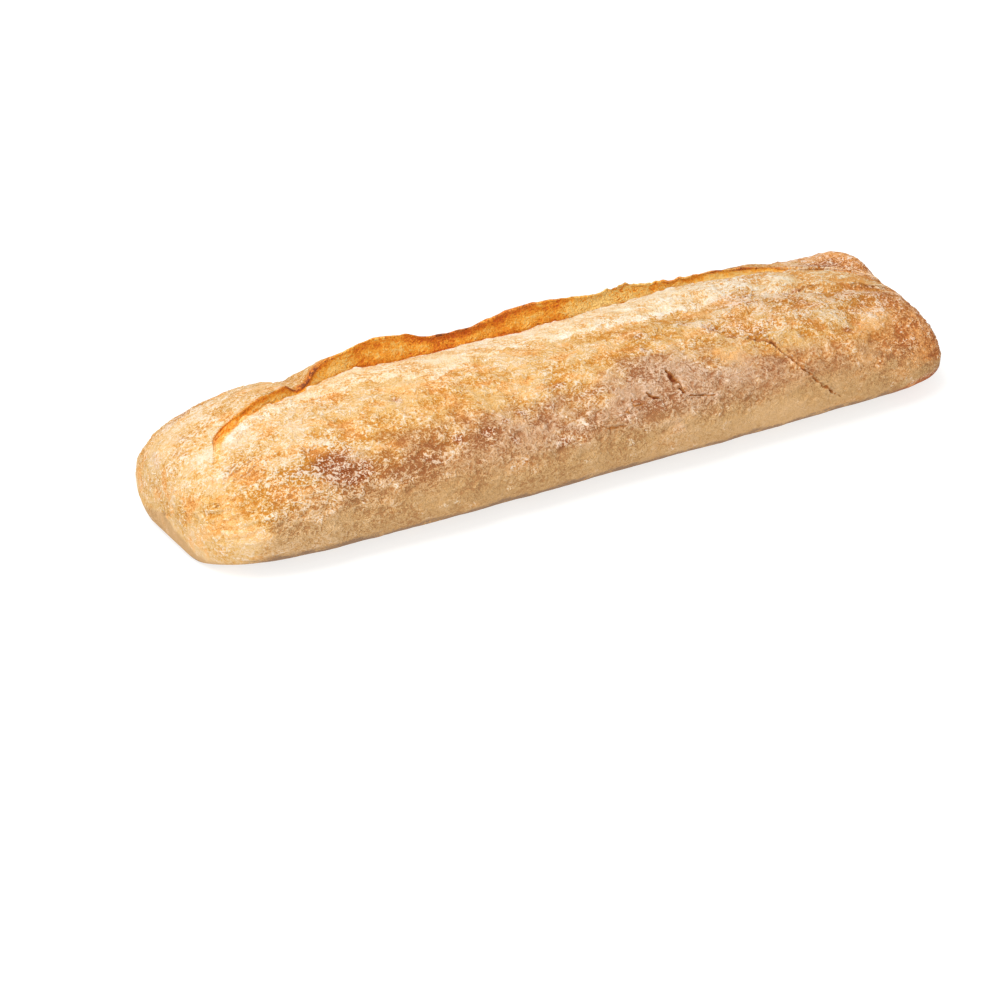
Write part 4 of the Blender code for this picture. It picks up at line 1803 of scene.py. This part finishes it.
@dataclass(frozen=True)
class Bake:
    """How flour and colour change along the loaf and up its sides, in degrees from under the middle."""

    dusty_up: Curve = Curve.through((88.0, 0.0), (104.0, 0.3), (118.0, 0.75), (130.0, 1.0))
    gold_up: Curve = Curve.through((104.0, 0.0), (120.0, 0.1), (136.0, 0.42), (150.0, 0.85), (160.0, 1.1))
    rough_up: Curve = Curve.through((60.0, 0.65), (96.0, 0.85), (118.0, 1.05), (180.0, 1.0))
    flour_up: Curve = Curve.through((92.0, 0.0), (118.0, -0.3), (136.0, -0.25), (154.0, 0.0))
    flour_along: Curve = Curve.through(
        (-0.98, 0.1), (-0.88, 0.1), (-0.74, 0.0), (-0.60, -0.3), (-0.35, -0.3), (-0.10, -0.1), (0.10, -0.1),
        (0.32, -0.3), (0.50, -0.3), (0.70, -0.2), (0.80, -0.2), (0.90, -0.4),
    )
    gold_along: Curve = Curve.through(
        (-0.98, 1.0), (-0.84, 0.8), (-0.60, 0.15), (-0.40, 0.0), (0.25, 0.0), (0.45, 0.1), (0.75, 0.25),
    )
    rosy_along: Curve = Curve.through((-0.50, 0.0), (-0.15, 0.9), (0.35, 1.0), (0.60, 0.4), (0.80, 0.1))
    toast_along: Curve = Curve.through((0.56, 0.0), (0.76, 0.4), (0.90, 0.95), (0.96, 1.0))
    toast_up: Curve = Curve.through(
        (78.0, 0.0), (96.0, 0.55), (112.0, 1.0), (150.0, 1.0), (172.0, 0.6), (180.0, 0.5),
    )
    calm_along: Curve = Curve.through(
        (-0.98, 0.8), (-0.90, 0.9), (-0.84, 1.4), (-0.68, 1.4), (-0.58, 1.0), (0.30, 1.0), (0.42, 0.75),
        (0.70, 0.75), (0.85, 1.0),
    )
    lively_along: Curve = Curve.through(
        (-0.98, 0.8), (-0.90, 0.9), (-0.84, 1.15), (-0.68, 1.1), (-0.58, 0.95), (0.20, 1.0), (0.35, 1.1),
        (0.60, 1.65), (0.90, 1.4),
    )
    corner_along: Step = Step(0.74, 0.12)
    corner_up: Step = Step(87.0, -8.0)
    corner_low: Step = Step(35.0, 25.0)
    least_corner: float = 0.2
    corner_brown: float = 0.6
    crown_along: Hill = Hill(0.15, 0.55, 0.90, 0.45)
    crown_up: Step = Step(146.0, 14.0)
    tip_gold_along: Step = Step(-0.84, -0.1)
    tip_gold_up: Step = Step(40.0, 30.0)
    dull_along: Hill = Hill(-0.04, 0.16, 0.38, 0.45)
    dull_up: Step = Step(162.0, -14.0)
    side_along: Hill = Hill(0.0, 0.4, 0.7)
    side_up: Step = Step(106.0, -12.0)
    side_flour: float = 0.7
    side_smoothness: float = 0.3
    pale_flour: float = 0.8
    hollow_shade: float = 0.5
    brown_rough: float = 0.8
    lively_up: Step = Step(136.0, 16.0)
    # Darker below a low height: partly the bottom crust's own bake, partly painted shade near the floor; the
    # thin line at the very edge is a painted contact shadow.
    base_and_shade_height: Step = Step(12.5 * MM, -6.5 * MM)
    base_and_shade_along: Step = Step(-0.97, 0.12)
    contact_shadow_edge: Step = Step(2.5 * MM, -2.0 * MM)
    ear: EarBake = EarBake()
    bloom: BloomBake = BloomBake()

    def paint(self, spot: Spot, marks: CrustMarks) -> Paint:
        """Shares of each finish at a point of the skin.

        Args:
            spot: The point.
            marks: Marks that the bake has left.

        Returns:
            The shares.
        """
        paint = self._crust(spot, marks)
        if spot.zone is Zone.EAR_FACE:
            self.ear.face(spot, paint)
        elif spot.zone is Zone.RIM:
            self.ear.rim(spot, paint)
        elif spot.zone is Zone.BLOOM:
            self.bloom.over(spot, self.lively_along.at(spot.along), paint)
        elif spot.zone is Zone.NEAR_CRUST:
            self.bloom.beside(spot, paint)
        else:
            self.ear.behind(spot, paint)
        return paint

    def _crust(self, spot: Spot, marks: CrustMarks) -> Paint:
        """Shares of each finish that the crust has at a point, apart from the slash.

        Args:
            spot: The point of the skin.
            marks: Marks that the bake has left.

        Returns:
            The shares.
        """
        along, angle, up, height = spot.along, spot.angle, spot.up, spot.place.z
        warm = self.dusty_up.at(up)
        corner = self.corner_along.at(along) * self.corner_up.at(up)
        corner *= at_least(self.least_corner, self.corner_low.at(up))
        crown = self.crown_along.at(along) * self.crown_up.at(up)
        side = self.side_along.at(along) * self.side_up.at(up)
        flour = self.flour_along.at(along) + self.flour_up.at(up) + self.side_flour * side
        flour += self.pale_flour * marks.pale(along, angle) - self.hollow_shade * marks.hollow(along, angle)
        gold = self.gold_up.at(up) + self.gold_along.at(along) * warm
        gold += self.tip_gold_along.at(along) * self.tip_gold_up.at(up)
        gold -= self.dull_along.at(along) * self.dull_up.at(up)
        brown = marks.brown(along, angle) + self.corner_brown * corner
        calm = self.calm_along.at(along)
        rough = calm + (self.lively_along.at(along) - calm) * self.lively_up.at(up)
        rough *= self.rough_up.at(up) * (1.0 + self.brown_rough * min(1.0, brown))
        return Paint(
            flour=flour,
            dusty=warm,
            rosy=self.rosy_along.at(along),
            gold=gold,
            toast=max(corner, crown, self.toast_along.at(along) * self.toast_up.at(up)),
            brown=brown,
            rough=rough * (1.0 - self.side_smoothness * side),
            under=self.base_and_shade_height.at(height) * max(self.base_and_shade_along.at(along), self.contact_shadow_edge.at(height)),
        )


@dataclass
class Loaf:
    """The whole loaf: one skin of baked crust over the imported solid's form."""

    form: LoafForm = LoafForm()
    rows: RowCounts = RowCounts()
    edge: TornEdge = TornEdge()
    relief: CrustRelief = CrustRelief()
    marks: CrustMarks = CrustMarks()
    bake: Bake = Bake()
    finish: CrustFinish = CrustFinish()
    node: str = "batard_loaf"
    name: str = "batard_crust"
    refine_reaches: Pair = (3.0 * MM, 1.65 * MM)
    cuts_before: float = 15.0 * MM
    closed_rise: float = 0.02 * MM
    lip_flour: float = 0.7
    pole_share: float = 0.5
    sections: dict[float, Section] = field(default_factory=dict)

    def section(self, along: float) -> Section:
        """The loaf's section at a place along it, made once for each place.

        Args:
            along: Place along the loaf, -1 to 1.

        Returns:
            The section.
        """
        key = round(along, 6)
        if key not in self.sections:
            self.sections[key] = Section(self.form, self.edge, key)
        return self.sections[key]

    def build(self) -> bpy.types.Object:
        """Makes the crust and puts it in place of the solid.

        Returns:
            The crust.
        """
        skin = bmesh.new()
        bmesh.ops.create_uvsphere(skin, u_segments=self.rows.total, v_segments=self.rows.stations, radius=1.0)
        self._lay_out(skin)
        cuts = CutMap(self.form, self.edge, self.marks)
        self._refine(skin, cuts)
        self._relieve_and_paint(skin, cuts)
        mesh = bpy.data.meshes.new(self.name)
        skin.to_mesh(mesh)
        skin.free()
        mesh.shade_smooth()
        crust = bpy.data.objects.new(self.name, mesh)
        bpy.context.scene.collection.objects.link(crust)
        crust.data.materials.append(self.finish.build())
        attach(crust, "root")
        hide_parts(self.node)
        log.info("crust: %d points, %d faces", len(mesh.vertices), len(mesh.polygons))
        return crust

    def _lay_out(self, skin: bmesh.types.BMesh) -> None:
        """Gives each point of the sphere its place along and row round, and moves it onto the loaf.

        Args:
            skin: The skin.
        """
        along_of = skin.verts.layers.float.new("along")
        row_of = skin.verts.layers.float.new("row")
        places = self.form.places_along(self.rows.stations)
        for point in skin.verts:
            ring = round(math.acos(max(-1.0, min(1.0, point.co.z))) / math.pi * self.rows.stations)
            row = round(math.atan2(point.co.y, point.co.x) / (2.0 * math.pi) * self.rows.total)
            point[along_of] = places[ring]
            point[row_of] = row % self.rows.total
            if ring in (0, self.rows.stations):
                section = self.section(places[ring])
                point.co = self.form.uneven(section.x, section.middle, section.belt)
                point[row_of] = -1.0
        self._place(skin)

    def _place(self, skin: bmesh.types.BMesh) -> None:
        """Moves each point onto the loaf's form by its place along and its row.

        Args:
            skin: The skin.
        """
        along_of = skin.verts.layers.float["along"]
        row_of = skin.verts.layers.float["row"]
        for point in skin.verts:
            if point[row_of] >= 0.0:
                zone, share = self.rows.zone_of(point[row_of])
                point.co = self.section(point[along_of]).point(zone, share)

    def _refine(self, skin: bmesh.types.BMesh, cuts: CutMap) -> None:
        """Splits the faces round the cuts, so that the cuts come out crisp.

        Args:
            skin: The skin.
            cuts: Where the cuts lie.
        """
        for reach in self.refine_reaches:
            front = (point for point in skin.verts if point.co.y < self.cuts_before)
            near = {point for point in front if cuts.near(point.co, reach)}
            edges = [edge for edge in skin.edges if all(point in near for point in edge.verts)]
            bmesh.ops.subdivide_edges(skin, edges=edges, cuts=1, use_grid_fill=True)
            self._place(skin)

    def _relieve_and_paint(self, skin: bmesh.types.BMesh, cuts: CutMap) -> None:
        """Raises the fine relief along the skin's normals and stores each finish's share.

        Args:
            skin: The skin.
            cuts: Where the cuts lie.
        """
        layers = {name: skin.verts.layers.float.new(name) for name in PAINT_NAMES}
        skin.normal_update()
        outward = self._outward_at_closed_slash(skin)
        moved = []
        for point in skin.verts:
            spot = self._spot(skin, point)
            paint = self.bake.paint(spot, self.marks)
            height = self.relief.height(spot, self.marks, paint)
            if spot.zone in (Zone.NEAR_CRUST, Zone.BLOOM):
                # The cuts' insides take painted shade.
                cut, inside, beside = cuts.depth(spot.place)
                height += cut
                paint.recess_shade = max(paint.recess_shade, inside)
                paint.flour += self.lip_flour * beside
            for name, layer in layers.items():
                point[layer] = getattr(paint, name)
            moved.append((point, spot.place + outward.get(point, point.normal) * height))
        for point, place in moved:
            place.z = max(0.0, place.z)
            point.co = place

    def _spot(self, skin: bmesh.types.BMesh, point: bmesh.types.BMVert) -> Spot:
        """A point of the skin as the relief and the bake see it; the two poles count as near crust.

        Args:
            skin: The skin.
            point: A point of it.

        Returns:
            The point with its section, zone and angle.
        """
        section = self.section(point[skin.verts.layers.float["along"]])
        row = point[skin.verts.layers.float["row"]]
        zone, share = self.rows.zone_of(row) if row >= 0.0 else (Zone.NEAR_CRUST, self.pole_share)
        return Spot(section, zone, share, section.angle(zone, share), point.co)

    def _outward_at_closed_slash(self, skin: bmesh.types.BMesh) -> dict[bmesh.types.BMVert, Vector]:
        """Way out of the loaf where the closed slash's rows lie on one another and have no normal.

        Args:
            skin: The skin.

        Returns:
            The way out for each such point.
        """
        along_of = skin.verts.layers.float["along"]
        row_of = skin.verts.layers.float["row"]
        first = self.rows.near_crust + self.rows.bloom
        last = first + self.rows.ear_face + self.rows.rim
        closed = []
        beside = {}
        for point in skin.verts:
            if not first <= point[row_of] <= last or self.section(point[along_of]).ear > self.closed_rise:
                continue
            if point[row_of] == last:
                beside[point[along_of]] = point.normal.copy()
            closed.append(point)
        return {point: beside[point[along_of]] for point in closed if point[along_of] in beside}


@dataclass
class Studio:
    """Plain pale floor, soft light and the camera, sizes in metres and angles in degrees."""

    camera_place: Triple = (-0.5370, -0.8435, 0.4917)
    camera_yaw: float = 31.1824
    camera_pitch: float = 27.406
    lens: float = 100.8
    floor_size: float = 60.0
    floor_color: Color = (0.35, 0.35, 0.345, 1.0)
    glow_color: Color = (0.98, 0.98, 0.97, 1.0)
    floor_glow: float = 0.75
    world_strength: float = 0.58
    key_place: Triple = (-0.50, -0.05, 1.20)
    key_size: float = 0.9
    key_power: float = 15.0
    fill_place: Triple = (-0.75, -1.20, 0.80)
    fill_size: float = 1.2
    fill_power: float = 8.5

    def build(self) -> None:
        """Makes the floor, the lights and the camera."""
        self._floor()
        self._world()
        self._lamp("key_light", self.key_place, self.key_size, self.key_power)
        self._lamp("fill_light", self.fill_place, self.fill_size, self.fill_power)
        self._camera()
        scene = bpy.context.scene
        scene.view_settings.view_transform = "Standard"
        scene.view_settings.look = "None"

    def _floor(self) -> None:
        """Pale floor under the loaf."""
        slab = bmesh.new()
        bmesh.ops.create_grid(slab, x_segments=1, y_segments=1, size=self.floor_size / 2)
        mesh = bpy.data.meshes.new("floor")
        slab.to_mesh(mesh)
        slab.free()
        floor = bpy.data.objects.new("floor", mesh)
        bpy.context.scene.collection.objects.link(floor)
        material = bpy.data.materials.new("pale_floor")
        material.use_nodes = True
        shader = material.node_tree.nodes["Principled BSDF"]
        shader.inputs["Base Color"].default_value = self.floor_color
        shader.inputs["Roughness"].default_value = 0.9
        shader.inputs["Specular IOR Level"].default_value = 0.1
        shader.inputs["Emission Color"].default_value = self.glow_color
        shader.inputs["Emission Strength"].default_value = self.floor_glow
        mesh.materials.append(material)

    def _world(self) -> None:
        """White surroundings."""
        world = bpy.data.worlds.new("studio")
        world.use_nodes = True
        background = world.node_tree.nodes["Background"]
        background.inputs["Color"].default_value = (1.0, 1.0, 1.0, 1.0)
        background.inputs["Strength"].default_value = self.world_strength
        bpy.context.scene.world = world

    def _lamp(self, name: str, place: Triple, size: float, power: float) -> None:
        """Soft square lamp that points at the loaf.

        Args:
            name: The lamp's name.
            place: Where it stands.
            size: Width of its face.
            power: Watts.
        """
        light = bpy.data.lights.new(name, "AREA")
        light.size = size
        light.energy = power
        lamp = bpy.data.objects.new(name, light)
        lamp.location = place
        lamp.rotation_euler = (Vector((0.0, 0.0, 0.02)) - Vector(place)).to_track_quat("-Z", "Y").to_euler()
        bpy.context.scene.collection.objects.link(lamp)

    def _camera(self) -> None:
        """Camera at the photograph's viewing angle."""
        camera = bpy.data.objects.new("camera", bpy.data.cameras.new("camera"))
        camera.data.lens = self.lens
        camera.data.sensor_width = 36.0
        camera.data.clip_start = 0.05
        camera.data.clip_end = 50.0
        camera.location = self.camera_place
        turn = (math.radians(90.0 - self.camera_pitch), 0.0, math.radians(-self.camera_yaw))
        camera.rotation_euler = turn
        bpy.context.scene.collection.objects.link(camera)
        bpy.context.scene.camera = camera


def main() -> None:
    """Builds the loaf and the studio, in order."""
    logging.basicConfig(level=logging.INFO, format="%(name)s: %(message)s")
    noise.seed_set(NOISE_SEED)
    Loaf().build()
    Studio().build()


if __name__ == "__main__":
    main()
